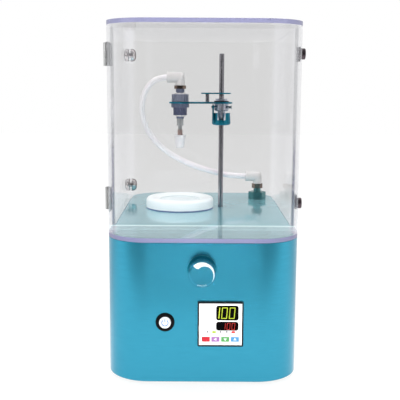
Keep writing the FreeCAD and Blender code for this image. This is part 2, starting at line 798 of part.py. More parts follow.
def hinge_leaf(name, centre_level, towards, knuckles):
    """One leaf with its knuckles: towards is -1 for the door side, 1 for the fixed side."""
    axis_x, axis_y = HINGE_AXIS
    radius = S.knuckle_diameter / 2
    low = centre_level - S.hinge_height / 2
    edge = axis_y + towards * (S.knuckle_gap / 2)
    leaf_start = edge if towards > 0 else edge - S.leaf_width
    pieces = [box(name + "_plate", (-SIDE - S.leaf_thickness, leaf_start, low),
                  (S.leaf_thickness, S.leaf_width, S.hinge_height))]
    web_width = radius - S.knuckle_gap / 2
    web_start = edge if towards > 0 else edge - web_width
    for i, (start, height) in enumerate(knuckles):
        level = low + start
        pieces.append(cylinder("%s_knuckle_%d" % (name, i), (axis_x, axis_y, level), S.knuckle_diameter, height))
        pieces.append(box("%s_web_%d" % (name, i), (axis_x, web_start, level),
                          (S.knuckle_offset - S.leaf_thickness / 2, web_width, height)))
    whole = fuse(name + "_fuse", *pieces)
    bore = cylinder(name + "_bore", (axis_x, axis_y, low - S.overcut), S.pin_diameter + 2 * S.running_gap,
                    S.hinge_height + 2 * S.overcut)
    return cut(name + "_cut", whole, bore)


def make_hinges():
    end = (S.hinge_height - 2 * S.knuckle_gap) / 3
    middle_start = end + S.knuckle_gap
    outer = [(0, end), (S.hinge_height - end, end)]
    inner = [(middle_start, S.hinge_height - 2 * middle_start)]
    fixed = [hinge_leaf("fixed_leaf_%d" % i, level, 1, outer) for i, level in enumerate(HINGE_LEVELS)]
    moving = [hinge_leaf("door_leaf_%d" % i, level, -1, inner) for i, level in enumerate(HINGE_LEVELS)]
    keep("hinge_fixed_leaves", group("fixed_leaves", fixed))
    keep("hinge_door_leaves", group("door_leaves", moving))
    radius = S.pin_diameter / 2
    head = S.pin_diameter * 0.75
    head_height = S.pin_diameter / 4
    profile = [
        (0, 0),
        (radius, 0),
        (radius, S.hinge_height),
        (head, S.hinge_height),
        (head, S.hinge_height + head_height),
        (0, S.hinge_height + head_height),
    ]
    pins = [turned("pin_%d" % i, profile, (HINGE_AXIS[0], HINGE_AXIS[1], level - S.hinge_height / 2))
            for i, level in enumerate(HINGE_LEVELS)]
    keep("hinge_pins", group("pins", pins))


def make_catches():
    radius = S.catch_diameter / 2
    edge = radius / 6
    profile = [
        (0, 0),
        (radius * 0.8, 0),
        (radius * 0.8, S.catch_reach * 0.3),
        (radius, S.catch_reach * 0.3),
        (radius, S.catch_reach, edge),
        (0, S.catch_reach),
    ]
    middle = SEAM - S.seam_gap - radius
    knobs = [turned("catch_%d" % i, profile, (SIDE, middle, level), "right")
             for i, level in enumerate(CATCH_LEVELS)]
    keep("catch_knobs", group("catches", knobs))
    strikes = [box("strike_%d" % i, (SIDE, COVER_EDGE, level - S.strike_height / 2),
                   (S.strike_thickness, S.strike_width, S.strike_height))
               for i, level in enumerate(CATCH_LEVELS)]
    keep("catch_strikes", group("strikes", strikes))


def make_cover_bolts():
    """Through bolts of the left wall, each with a domed head inside and one outside."""
    stem = S.bolt_stem_diameter / 2
    head = S.bolt_head_diameter / 2
    inside = S.bolt_head_height
    outside = S.bolt_outer_height
    wall = S.wall_thickness
    profile = [
        (0, -outside),
        (head, -outside, outside * DOME_SHARE),
        (head, 0),
        (stem, 0),
        (stem, wall),
        (head, wall),
        (head, wall + inside, inside * DOME_SHARE),
        (0, wall + inside),
    ]
    bolts = [turned("cover_bolt_%d" % i, profile, (-SIDE, BOLT_DEPTH, level), "right")
             for i, level in enumerate(BOLT_LEVELS)]
    keep("cover_bolts", group("bolts", bolts))


# Hose fittings

def hexagon_with_bore(name, at, across_flats, height, bore):
    hole = cylinder(name + "_bore", at, bore, height)
    return cut(name + "_cut", prism(name, at, across_flats, height), hole)


def elbow(name, x, y, level):
    """White elbow on a hexagon at this level: an upright leg and a level socket that opens to the left."""
    axis_level = level + S.elbow_rise
    leg = cylinder(name + "_leg", (x, y, level), S.elbow_leg_diameter, S.elbow_rise)
    socket_radius = S.elbow_socket_diameter / 2
    bore_radius = S.hose_diameter / 2 + S.hose_fit
    length = S.elbow_reach + S.elbow_back
    profile = [
        (0, 0),
        (socket_radius, 0, S.elbow_back * 0.8),
        (socket_radius, length, S.hose_fit * 3),
        (bore_radius, length),
        (bore_radius, length - S.socket_depth),
        (0, length - S.socket_depth),
    ]
    socket = turned(name + "_socket", profile, (x + S.elbow_back, y, axis_level), "left")
    return fuse(name + "_fuse", leg, socket)


def make_port():
    x, y = PORT
    thread = S.port_thread_diameter / 2
    body = turned("port_stem", [
        (S.passage_diameter / 2, -DECK_THICKNESS - S.port_thread_length),
        (thread, -DECK_THICKNESS - S.port_thread_length),
        (thread, 0),
        (S.port_nut_width / 2, 0),
        (S.port_nut_width / 2, S.port_nut_height),
        (S.fitting_stem_diameter / 2, S.port_nut_height),
        (S.fitting_stem_diameter / 2, S.port_nut_height + S.port_neck_height),
        (S.passage_diameter / 2, S.port_nut_height + S.port_neck_height),
    ], (x, y, DECK_TOP))
    nut = prism("port_nut", (x, y, DECK_TOP), S.port_nut_width, S.port_nut_height)
    bore = cylinder("port_bore", (x, y, DECK_TOP), S.passage_diameter, S.port_nut_height)
    keep("port_body", fuse("port_fuse", body, cut("port_nut_cut", nut, bore)))
    hex_level = DECK_TOP + S.port_nut_height + S.port_neck_height
    keep("port_hex", hexagon_with_bore("port_hexagon", (x, y, hex_level), S.fitting_hex_width,
                                       S.port_hex_height, S.passage_diameter))
    keep("port_elbow", elbow("port_elbow_body", x, y, hex_level + S.port_hex_height))


def hose_path():
    """Straight runs joined by tangent arcs, as large as the runs allow."""
    points = [VECTOR(*point) for point in HOSE_ROUTE]
    edges = []
    start = points[0]
    for before, corner, after in zip(points, points[1:], points[2:]):
        back = before - corner
        ahead = after - corner
        turn = math.pi - back.getAngle(ahead)
        reach = ARC_SHARE * min(back.Length, ahead.Length)
        radius = reach / math.tan(turn / 2)
        print("hose bend radius %.1f" % radius)
        arc_start, arc_middle, arc_end, _ = rounding(before, corner, after, radius)
        edges.append(Part.LineSegment(start, arc_start).toShape())
        edges.append(Part.Arc(arc_start, arc_middle, arc_end).toShape())
        start = arc_end
    edges.append(Part.LineSegment(start, points[-1]).toShape())
    return Part.Wire(edges)


def make_hose():
    path = hose_path()
    start = VECTOR(*HOSE_ROUTE[0])
    heading = VECTOR(*HOSE_ROUTE[1]) - start
    section = Part.Wire([Part.Circle(start, heading, S.hose_diameter.value / 2).toShape()])
    tube = path.makePipeShell([section], True, False)
    ideal = math.pi * (S.hose_diameter.value / 2) ** 2 * path.Length
    print("hose length %.1f, volume %.0f of %.0f" % (path.Length, tube.Volume, ideal))
    hose = DOC.addObject("Part::Feature", "hose_tube")
    hose.Shape = tube
    hose.Placement = FreeCAD.Placement()
    keep("hose", hose)


# Arm and plug

def link_plate(name, first, first_radius, second, second_radius, level, thickness, holes):
    """A plate with two round ends joined by tangent edges."""
    body = new_body(name)
    sketch = new_sketch(body, name + "_outline", "XY_Plane", level)
    ends = [(as_size(first[0]), as_size(first[1]), as_size(first_radius)),
            (as_size(second[0]), as_size(second[1]), as_size(second_radius))]
    a = VECTOR(ends[0][0].value, ends[0][1].value, 0)
    b = VECTOR(ends[1][0].value, ends[1][1].value, 0)
    ra = ends[0][2].value
    rb = ends[1][2].value
    along = math.atan2(b.y - a.y, b.x - a.x)
    lean = math.acos((ra - rb) / (b - a).Length)
    up, down = along + lean, along - lean

    def on_circle(centre, radius, angle):
        return centre + VECTOR(radius * math.cos(angle), radius * math.sin(angle), 0)

    z = VECTOR(0, 0, 1)
    arc_a = sketch.addGeometry(Part.ArcOfCircle(Part.Circle(a, z, ra), up, down + 2 * math.pi))
    arc_b = sketch.addGeometry(Part.ArcOfCircle(Part.Circle(b, z, rb), down, up))
    line_up = sketch.addGeometry(Part.LineSegment(on_circle(b, rb, up), on_circle(a, ra, up)))
    line_down = sketch.addGeometry(Part.LineSegment(on_circle(a, ra, down), on_circle(b, rb, down)))
    for arc, (x, y, radius) in zip((arc_a, arc_b), ends):
        fix_distance(sketch, "DistanceX", arc, 3, x)
        fix_distance(sketch, "DistanceY", arc, 3, y)
        fix_radius(sketch, arc, radius)
    for before, after in ((arc_b, line_up), (line_up, arc_a), (arc_a, line_down), (line_down, arc_b)):
        sketch.addConstraint(Sketcher.Constraint("Tangent", before, 2, after, 1))
    for x, y, diameter in holes:
        draw_circle(sketch, (x, y), as_size(diameter) / 2)
    add_pad(body, name + "_pad", sketch, thickness)
    return body


def arm_point(reach):
    """A point on the line from the rod towards the plug."""
    across = HEATER[0] - ROD[0]
    along = HEATER[1] - ROD[1]
    length = (across * across + along * along).root()
    return ROD[0] + across * reach / length, ROD[1] + along * reach / length


def make_arm():
    rod_bore = S.rod_diameter + 2 * S.running_gap
    loose = 2 * S.fit_gap
    keep("arm_plate", link_plate("arm", HEATER, S.arm_end_radius, ROD, S.arm_end_radius, ARM_UNDERSIDE,
                                 S.arm_plate_thickness,
                                 [(HEATER[0], HEATER[1], S.plug_stem_diameter + loose),
                                  (ROD[0], ROD[1], S.collar_neck_diameter + loose)]))
    post = arm_point(S.post_reach)
    keep("guide_plate", link_plate("guide", post, S.guide_end_radius, ROD, S.guide_hub_radius,
                                   GUIDE_UNDERSIDE, S.guide_plate_thickness, [(ROD[0], ROD[1], rod_bore)]))
    keep("guide_post", cylinder("guide_post_pin", (post[0], post[1], ARM_TOP), S.guide_post_diameter,
                                S.guide_gap))


def make_clamp():
    x, y = ROD
    bore = S.rod_diameter / 2 + S.running_gap
    outer = S.collar_diameter / 2
    chamfer = S.collar_height / 8
    neck = S.collar_neck_diameter / 2
    neck_top = S.arm_plate_thickness + S.washer_thickness + S.clamp_nut_height
    profile = [
        (bore, -S.collar_height),
        (outer - chamfer, -S.collar_height),
        (outer, -S.collar_height + chamfer),
        (outer, 0),
        (neck, 0),
        (neck, neck_top),
        (bore, neck_top),
    ]
    collar = turned("collar", profile, (x, y, ARM_UNDERSIDE))
    pin_level = ARM_UNDERSIDE - S.clamp_pin_drop
    pin_start = x - S.clamp_pin_reach
    pin_y = y - S.clamp_pin_offset
    pin_hole = cylinder("pin_hole", (pin_start, pin_y, pin_level), S.clamp_pin_diameter + 2 * S.running_gap,
                        2 * S.clamp_pin_reach, "right")
    keep("clamp_collar", cut("collar_cut", collar, pin_hole))
    head = S.clamp_pin_diameter * 0.8
    pin_radius = S.clamp_pin_diameter / 2
    head_height = S.clamp_pin_diameter / 4
    pin = [
        (0, 0),
        (pin_radius, 0),
        (pin_radius, 2 * S.clamp_pin_reach - head_height),
        (head, 2 * S.clamp_pin_reach - head_height),
        (head, 2 * S.clamp_pin_reach),
        (0, 2 * S.clamp_pin_reach),
    ]
    keep("clamp_pin", turned("cross_pin", pin, (pin_start, pin_y, pin_level), "right"))
    neck_bore = S.collar_neck_diameter + 2 * S.running_gap
    washer_top = ARM_TOP + S.washer_thickness
    washer = cut("washer_cut", cylinder("washer", (x, y, ARM_TOP), S.washer_diameter, S.washer_thickness),
                 cylinder("washer_bore", (x, y, ARM_TOP), neck_bore, S.washer_thickness))
    keep("clamp_washer", washer)
    keep("clamp_nut", hexagon_with_bore("clamp_hexagon", (x, y, washer_top), S.clamp_nut_width,
                                        S.clamp_nut_height, neck_bore))
    band = S.collet_diameter / 2
    tip = S.collet_tip_diameter / 2
    low = S.collet_band_height + S.collet_cone_height
    collet = [(bore, -low), (tip, -low), (band, -S.collet_band_height), (band, 0), (bore, 0)]
    keep("collet", turned("collet_body", collet, (x, y, ARM_UNDERSIDE - S.collar_height)))


def make_lever():
    """A skirt in front of the rod that hangs from the cross pin by a strap."""
    x, y = ROD
    top = S.lever_skirt_height
    sheet = S.lever_sheet
    foot = S.lever_foot_radius
    floor_bore = S.lever_floor_bore / 2
    skirt_level = ARM_UNDERSIDE - S.lever_skirt_top - S.lever_skirt_height
    skirt = turned("skirt", [
        (floor_bore, 0),
        (foot, 0, sheet * 2),
        (S.lever_top_radius, top),
        (S.lever_top_radius - sheet, top),
        (foot - sheet, sheet, sheet),
        (floor_bore, sheet),
    ], (x, y, skirt_level))
    front_half = box("skirt_front", (x - foot, y - foot, skirt_level), (2 * foot, foot, top))
    window = box("skirt_window", (x - S.lever_window / 2, y - foot - S.overcut, skirt_level + S.lever_lip),
                 (S.lever_window, foot, top))
    half = cut("skirt_cut", common("skirt_half", skirt, front_half), window)
    pin_y = y - S.clamp_pin_offset
    pin_level = ARM_UNDERSIDE - S.clamp_pin_drop
    strap_right = x - S.lever_top_radius + sheet
    strap_left = strap_right - S.strap_thickness
    strap_foot = skirt_level + S.lever_lip
    strap = box("strap", (strap_left, pin_y - S.strap_width / 2, strap_foot),
                (S.strap_thickness, S.strap_width, pin_level - strap_foot))
    eye = cylinder("strap_eye", (strap_left, pin_y, pin_level), S.strap_width, S.strap_thickness, "right")
    whole = fuse("lever_fuse", half, strap, eye)
    hole = cylinder("strap_hole", (strap_left - S.overcut, pin_y, pin_level),
                    S.clamp_pin_diameter + 2 * S.running_gap, S.strap_thickness + 2 * S.overcut, "right")
    keep("clamp_lever", cut("lever_cut", whole, hole))


def make_plug():
    x, y = HEATER
    inner = S.passage_diameter / 2
    stem = S.plug_stem_diameter / 2
    neck = S.plug_neck_diameter / 2
    flange = S.plug_flange_diameter / 2
    flange_low = -S.plug_flange_height
    nut_low = flange_low - S.lower_nut_height
    neck_low = nut_low - S.plug_neck_height
    stem_top = S.arm_plate_thickness + S.upper_nut_height
    keep("plug_body", turned("plug_core", [
        (inner, neck_low),
        (neck, neck_low),
        (neck, flange_low),
        (flange, flange_low),
        (flange, 0),
        (stem, 0),
        (stem, stem_top),
        (inner, stem_top),
    ], (x, y, ARM_UNDERSIDE)))
    gap = 2 * S.running_gap
    keep("upper_nut", ribbed_nut("upper_ribbed_nut", S.upper_nut_diameter, S.upper_nut_height,
                                 S.plug_stem_diameter + gap, (x, y, ARM_TOP)))
    keep("lower_nut", ribbed_nut("lower_ribbed_nut", S.lower_nut_diameter, S.lower_nut_height,
                                 S.plug_neck_diameter + gap, (x, y, ARM_UNDERSIDE + nut_low)))
    seal = S.plug_seal_diameter / 2
    seal_top = S.plug_seal_height
    collar_top = seal_top + S.plug_collar_height
    collar = S.plug_collar_diameter / 2
    keep("plug_collar", turned("seal_and_collar", [
        (inner, 0),
        (seal, 0),
        (seal, seal_top),
        (collar, seal_top),
        (collar, collar_top),
        (inner, collar_top),
    ], (x, y, ARM_UNDERSIDE + stem_top)))
    hex_level = ARM_UNDERSIDE + stem_top + collar_top
    keep("plug_hex", hexagon_with_bore("plug_hexagon", (x, y, hex_level), S.fitting_hex_width,
                                       S.plug_hex_height, S.passage_diameter))
    keep("plug_elbow", elbow("plug_elbow_body", x, y, hex_level + S.plug_hex_height))
    tube = S.tube_diameter / 2
    tail = S.tube_tail_diameter / 2
    tube_low = S.tube_length + S.tube_tail_length
    keep("vapour_tube", turned("vapour_tube_body", [
        (inner, -tube_low),
        (tail, -tube_low),
        (tail, -S.tube_length),
        (tube, -S.tube_length),
        (tube, 0),
        (inner, 0),
    ], (x, y, ARM_UNDERSIDE + neck_low)))
    sleeve_top = ARM_UNDERSIDE + neck_low - tube_low
    sleeve = S.sleeve_diameter / 2
    keep("nozzle_sleeve", turned("sleeve_body", [
        (inner, -S.sleeve_length),
        (sleeve, -S.sleeve_length),
        (sleeve, 0),
        (inner, 0),
    ], (x, y, sleeve_top)))
    cone = S.cone_top_diameter / 2
    tip = S.cone_tip_diameter / 2
    rim_radius = cone * 0.94
    keep("plug_cone", turned("cone_body", [
        (inner, -S.cone_length),
        (tip, -S.cone_length, inner / 3),
        (rim_radius, -S.cone_rim),
        (cone, -S.cone_rim),
        (cone, 0, inner / 3),
        (inner, 0),
    ], (x, y, sleeve_top - S.sleeve_length)))


# Front panel

def make_knob():
    x, level = S.knob_side, KNOB_LEVEL
    radius = S.knob_diameter / 2
    waist = S.knob_waist_diameter / 2
    length = S.knob_reach - S.dial_thickness - S.knob_gap
    spindle = S.spindle_diameter / 2
    tail = S.dial_thickness + S.knob_gap + S.spindle_length
    knob = [
        (0, -length),
        (radius, -length, S.knob_edge_radius),
        (radius, -length / 2, length / 2),
        (waist, 0, S.knob_edge_radius / 2),
        (spindle, 0),
        (spindle, tail),
        (0, tail),
    ]
    keep("flow_knob", turned("knob", knob, (x, FRONT - S.dial_thickness - S.knob_gap, level), "back"))
    bush_bore = S.spindle_diameter + 2 * S.running_gap
    dial_at = (x, FRONT - S.dial_thickness, level)
    dial = cylinder("dial", dial_at, S.dial_diameter, S.dial_thickness, "back")
    dial_bore = cylinder("dial_bore", dial_at, S.bush_diameter + 2 * S.running_gap, S.dial_thickness, "back")
    keep("knob_ring", cut("dial_cut", dial, dial_bore))
    block = box("valve_block", (x - S.valve_width / 2, PANEL_BACK, level - S.valve_height / 2),
                (S.valve_width, S.valve_length, S.valve_height))
    bush_length = S.dial_thickness + S.housing_sheet
    bush = cylinder("valve_bush", (x, FRONT - S.dial_thickness, level), S.bush_diameter, bush_length, "back")
    bore = cylinder("valve_bore", (x, FRONT - S.dial_thickness - S.overcut, level), bush_bore,
                    S.dial_thickness + S.overcut + S.spindle_length + S.fit_gap, "back")
    keep("flow_valve", cut("valve_cut", fuse("valve_fuse", block, bush), bore))


def make_switch():
    x, level = S.switch_side, S.switch_level
    ring = S.switch_diameter / 2
    barrel = S.switch_barrel / 2
    bore = S.button_diameter / 2 + S.key_gap
    reach = S.switch_reach
    bezel = [
        (0, S.button_cavity),
        (bore, S.button_cavity),
        (bore, -reach),
        (ring, -reach, reach * 0.7),
        (ring, 0),
        (barrel, 0),
        (barrel, S.switch_barrel_length),
        (0, S.switch_barrel_length),
    ]
    keep("switch_bezel", turned("switch_body", bezel, (x, FRONT, level), "back"))
    button = S.button_diameter / 2
    profile = [(0, 0), (button, 0, S.key_gap * 4), (button, S.button_length), (0, S.button_length)]
    keep("switch_button", turned("switch_cap", profile, (x, FRONT - S.button_reach, level), "back"))


def square_outline(width, height, corner):
    x = width / 2
    z = height / 2
    return [(-x, -z, corner), (x, -z, corner), (x, z, corner), (-x, z, corner)]


def rounded_window(name, at, width, height, depth, corner):
    """A slab with rounded corners that reaches forward from the middle of its rear face."""
    body = new_body(name)
    outline = new_sketch(body, name + "_outline", "XZ_Plane", 0)
    draw_loop(outline, square_outline(width, height, corner))
    add_pad(body, name + "_pad", outline, depth)
    return place(body, at)


def make_controller():
    x, level = S.controller_side, S.controller_level
    front = FRONT - S.bezel_reach
    body = new_body("controller_body")
    bezel = new_sketch(body, "bezel_outline", "XZ_Plane", 0)
    draw_loop(bezel, square_outline(S.bezel_size, S.bezel_size, S.bezel_corner))
    add_pad(body, "bezel_pad", bezel, S.bezel_reach)
    back = new_sketch(body, "case_outline", "XZ_Plane", -S.case_length)
    draw_loop(back, square_outline(S.case_size, S.case_size, S.bezel_corner))
    add_pad(body, "case_pad", back, S.case_length)
    place(body, (x, FRONT, level))
    face_size = S.bezel_size - 2 * S.bezel_frame
    recess = box("face_recess_box", (x - face_size / 2, front - S.overcut, level - face_size / 2),
                 (face_size, S.face_recess + S.overcut, face_size))
    floor = front + S.face_recess
    row = S.key_count * S.key_pitch
    key_row = level - S.key_drop
    pocket = box("key_pocket_box", (x - row / 2, floor - S.overcut, key_row - S.key_height / 2 - S.key_gap),
                 (row, S.key_pocket + S.overcut, S.key_height + 2 * S.key_gap))
    keep("controller_case", cut("controller_cut", body, recess, pocket))
    panel_size = face_size - 2 * S.key_gap
    panel_front = floor - S.face_thickness
    panel = box("face_box", (x - panel_size / 2, panel_front, level - panel_size / 2),
                (panel_size, S.face_thickness, panel_size))
    windows = []
    screens = []
    for name, height, rise in (("upper", S.upper_display_height, S.upper_display_level),
                               ("lower", S.lower_display_height, -S.lower_display_drop)):
        at = (x + S.display_side, floor, level + rise)
        windows.append(rounded_window(name + "_window", at, S.display_width + 2 * S.key_gap,
                                      height + 2 * S.key_gap, S.face_thickness, S.display_corner + S.key_gap))
        screens.append(rounded_window(name + "_screen", at, S.display_width, height, S.display_thickness,
                                      S.display_corner))
    lamps = []
    middle_lamp = (S.lamp_count - 1) / 2
    for i in range(round(S.lamp_count.value)):
        at = (x + S.lamp_pitch * (as_size(i) - middle_lamp), floor, level - S.lamp_drop)
        windows.append(cylinder("lamp_window_%d" % i, at, S.lamp_diameter + 2 * S.key_gap, S.face_thickness,
                                "front"))
        lamps.append(cylinder("lamp_%d" % i, at, S.lamp_diameter, S.lamp_length, "front"))
    key_front = floor + S.key_pocket - S.key_thickness - S.key_gap * 6
    middle_key = (S.key_count - 1) / 2
    for i in range(round(S.key_count.value)):
        key_x = x + S.key_pitch * (as_size(i) - middle_key)
        centre = (key_x, floor - S.face_thickness / 2, key_row)
        opening = (S.key_width + 2 * S.key_gap, S.face_thickness, S.key_height + 2 * S.key_gap)
        windows.append(centred_box("key_window_%d" % i, centre, opening))
        low = (key_x - S.key_width / 2, key_front, key_row - S.key_height / 2)
        keep("key_%d" % (i + 1), box("key_cap_%d" % i, low, (S.key_width, S.key_thickness, S.key_height)))
    keep("controller_face", cut("face_cut", panel, *windows))
    keep("display_windows", group("screens", screens))
    keep("status_lamps", group("lamps", lamps))


# Rear and inside of the base

def make_inlet():
    x, level = S.inlet_side, S.inlet_level
    flange = centred_box("inlet_flange", (x, REAR + S.inlet_flange_thickness / 2, level),
                         (S.inlet_flange_width, S.inlet_flange_thickness, S.inlet_flange_height))
    body = box("inlet_body", (x - S.inlet_body_width / 2, REAR - S.inlet_body_length,
                              level - S.inlet_body_height / 2),
               (S.inlet_body_width, S.inlet_body_length, S.inlet_body_height))
    mouth = REAR + S.inlet_flange_thickness
    socket = box("inlet_socket", (x - S.inlet_socket_width / 2, mouth - S.inlet_socket_depth,
                                  level - S.inlet_socket_height / 2),
                 (S.inlet_socket_width, S.inlet_socket_depth + S.overcut, S.inlet_socket_height))
    keep("mains_inlet", cut("inlet_cut", fuse("inlet_fuse", flange, body), socket))
    blades = []
    for i, (side, rise) in enumerate(((-1, -0.5), (0, 0.5), (1, -0.5))):
        centre = (x + side * S.inlet_blade_pitch, mouth - S.inlet_socket_depth + S.inlet_blade_length / 2,
                  level + rise * S.inlet_blade_height)
        blades.append(centred_box("blade_%d" % i, centre,
                                  (S.inlet_blade_width, S.inlet_blade_length, S.inlet_blade_height)))
    keep("inlet_blades", group("blades", blades))


def make_barb():
    x, level = S.barb_side, BARB_LEVEL
    bore = S.barb_bore / 2
    root = S.barb_root_diameter / 2
    crest = S.barb_diameter / 2
    thread = S.port_thread_diameter / 2
    inside = S.port_thread_length
    hexagon = S.barb_hex_height
    core = S.barb_hex_width * 0.42
    step = (S.barb_reach - hexagon) / 4
    profile = [(bore, -inside), (thread, -inside), (thread, 0), (core, 0), (core, hexagon),
               (root, hexagon), (root, hexagon + step)]
    for i in range(3):
        ridge = hexagon + step * (i + 1)
        profile += [(crest, ridge), (crest, ridge + S.barb_land), (root, ridge + step)]
    profile.append((bore, S.barb_reach))
    stem = turned("barb_stem", profile, (x, REAR, level), "back")
    nut = prism("barb_hexagon", (x, REAR, level), S.barb_hex_width, S.barb_hex_height, "back")
    hole = cylinder("barb_hex_bore", (x, REAR, level), S.port_thread_diameter, S.barb_hex_height, "back")
    keep("vacuum_barb", fuse("barb_fuse", stem, cut("barb_hex_cut", nut, hole)))


def make_lock_nuts():
    bore = S.port_thread_diameter + 2 * S.running_gap
    port_level = SHEET_UNDERSIDE - S.lock_nut_height
    nuts = [hexagon_with_bore("port_lock_nut", (PORT[0], PORT[1], port_level), S.lock_nut_width,
                              S.lock_nut_height, bore)]
    inner_face = REAR - S.housing_sheet - S.lock_nut_height
    at = (S.barb_side, inner_face, BARB_LEVEL)
    nut = prism("barb_lock_nut", at, S.lock_nut_width, S.lock_nut_height, "back")
    hole = cylinder("barb_lock_bore", at, bore, S.lock_nut_height, "back")
    nuts.append(cut("barb_lock_cut", nut, hole))
    keep("lock_nuts", group("lock_nut_pair", nuts))


def make_supply():
    floor_level = S.foot_height + S.pan_thickness
    centre = (S.supply_side, REAR - S.supply_inset - S.supply_depth / 2, floor_level + S.supply_height / 2)
    keep("power_supply", centred_box("supply_box", centre, (S.supply_width, S.supply_depth, S.supply_height)))


def check_and_export():
    DOC.recompute()
    for thing in DOC.Objects:
        if "Invalid" in thing.State or "Error" in thing.State:
            raise RuntimeError("%s could not be built: %s" % (thing.Label, thing.State))
    os.makedirs("parts", exist_ok=True)
    for label, thing in PARTS:
        shape = thing.Shape
        if shape.isNull() or not shape.isValid() or not shape.Solids:
            raise RuntimeError("%s has no valid solid" % label)
        shape.exportStep(os.path.join("parts", label + ".step"))
    print("%d sub-parts written" % len(PARTS))


make_housing()
make_pan_and_feet()
make_deck()
make_heater()
make_rod()
make_cover()
make_door()
make_hinges()
make_catches()
make_cover_bolts()
make_port()
make_hose()
make_arm()
make_clamp()
make_lever()
make_plug()
make_knob()
make_switch()
make_controller()
make_inlet()
make_barb()
make_lock_nuts()
make_supply()
check_and_export()
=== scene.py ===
"""Looks of a bench sample evaporator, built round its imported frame. All lengths are in metres."""

import logging
import math
from dataclasses import dataclass, field, replace
from enum import Enum
from typing import Callable, Iterable, Sequence

import bmesh
import bpy
from bmesh.types import BMesh
from bpy.types import Material, Mesh, Node, NodeSocket, NodeTree, Object
from mathutils import Matrix, Vector

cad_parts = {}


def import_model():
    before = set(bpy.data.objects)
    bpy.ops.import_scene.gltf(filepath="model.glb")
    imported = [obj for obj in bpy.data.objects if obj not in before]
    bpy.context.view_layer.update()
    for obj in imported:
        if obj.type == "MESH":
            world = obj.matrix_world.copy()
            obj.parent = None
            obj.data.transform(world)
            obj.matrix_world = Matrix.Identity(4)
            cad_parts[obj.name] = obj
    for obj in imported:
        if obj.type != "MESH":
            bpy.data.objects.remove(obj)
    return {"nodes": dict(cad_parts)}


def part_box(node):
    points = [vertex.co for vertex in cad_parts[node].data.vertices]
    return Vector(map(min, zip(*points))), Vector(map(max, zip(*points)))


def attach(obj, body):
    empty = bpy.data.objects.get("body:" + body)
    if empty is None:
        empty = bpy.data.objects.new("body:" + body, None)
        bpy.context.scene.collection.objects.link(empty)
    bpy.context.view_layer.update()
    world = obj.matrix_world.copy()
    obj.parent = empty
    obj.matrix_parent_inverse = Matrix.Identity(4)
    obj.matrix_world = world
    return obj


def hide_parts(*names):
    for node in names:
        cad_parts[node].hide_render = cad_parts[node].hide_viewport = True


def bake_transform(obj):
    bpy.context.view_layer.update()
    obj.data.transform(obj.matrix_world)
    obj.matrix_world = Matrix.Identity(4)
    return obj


LOG = logging.getLogger("evaporator")
Point = tuple[float, float, float]
Colour = tuple[float, float, float]
Pair = tuple[float, float]
Outline = Sequence[Pair]

WHITE = (1.0, 1.0, 1.0)
RIGHT = Vector((1, 0, 0))
BACK = Vector((0, 1, 0))
UP = Vector((0, 0, 1))
PRINT_HEIGHT = 0.00006
PRINT_SUNK = 0.00002


class Body(Enum):
    """The bodies of the frame that a piece or a look here belongs to."""

    BASE = "base"
    DOOR = "door"
    ARM = "arm"
    KNOB = "knob"
    BUTTON = "power_button"
    KEY_1 = "key_1"
    KEY_2 = "key_2"
    KEY_3 = "key_3"
    KEY_4 = "key_4"


# Small helpers

def linear(colour: Colour) -> Colour:
    """Turns a colour of 0 to 255 as seen on a screen into Blender's linear values.

    Args:
        colour: Red, green and blue as seen on a screen.

    Returns:
        The linear colour.
    """
    return tuple(share / 12.92 if share <= 0.04045 else ((share + 0.055) / 1.055) ** 2.4
                 for share in (part / 255 for part in colour))


def opaque(colour: Colour) -> tuple[float, float, float, float]:
    """Gives a linear colour with full alpha, as node sockets want it."""
    return (*colour, 1.0)


def shown(colour: Colour) -> tuple[float, float, float, float]:
    """Gives a screen colour as node sockets want it."""
    return opaque(linear(colour))


def corners(node: str) -> tuple[Vector, Vector]:
    """Gives the lowest and the highest corner of a frame node's box."""
    low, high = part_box(node)
    return Vector(low), Vector(high)


def middle(node: str) -> Vector:
    """Gives the middle of a frame node's box."""
    low, high = corners(node)
    return (low + high) / 2


def front_of(node: str, sunk: float = 0.0) -> Vector:
    """Gives the middle of a frame node's front, or the point that lies a little behind it."""
    low, high = corners(node)
    return Vector(((low.x + high.x) / 2, low.y + sunk, (low.z + high.z) / 2))


def new_object(name: str, mesh: Mesh, finish: Material) -> Object:
    """Puts a finished mesh in the scene.

    Args:
        name: Name of the piece.
        mesh: Its mesh, with its place in its vertices.
        finish: Its material.

    Returns:
        The new object, at the origin.
    """
    piece = bpy.data.objects.new(name, mesh)
    bpy.context.scene.collection.objects.link(piece)
    mesh.materials.clear()
    mesh.materials.append(finish)
    return piece


def mesh_from(name: str, bm: BMesh, smooth_angle: float = 35.0) -> Mesh:
    """Cleans a bmesh, turns its faces outwards and shades it smooth but for sharp edges.

    Args:
        name: Name of the mesh.
        bm: The bmesh, which is freed.
        smooth_angle: Edges sharper than this many degrees stay sharp.

    Returns:
        The mesh.
    """
    bmesh.ops.remove_doubles(bm, verts=bm.verts, dist=1e-6)
    bmesh.ops.recalc_face_normals(bm, faces=bm.faces)
    limit = math.radians(smooth_angle)
    for face in bm.faces:
        face.smooth = True
    for edge in bm.edges:
        edge.smooth = len(edge.link_faces) == 2 and edge.calc_face_angle(math.pi) < limit
    mesh = bpy.data.meshes.new(name)
    bm.to_mesh(mesh)
    bm.free()
    return mesh


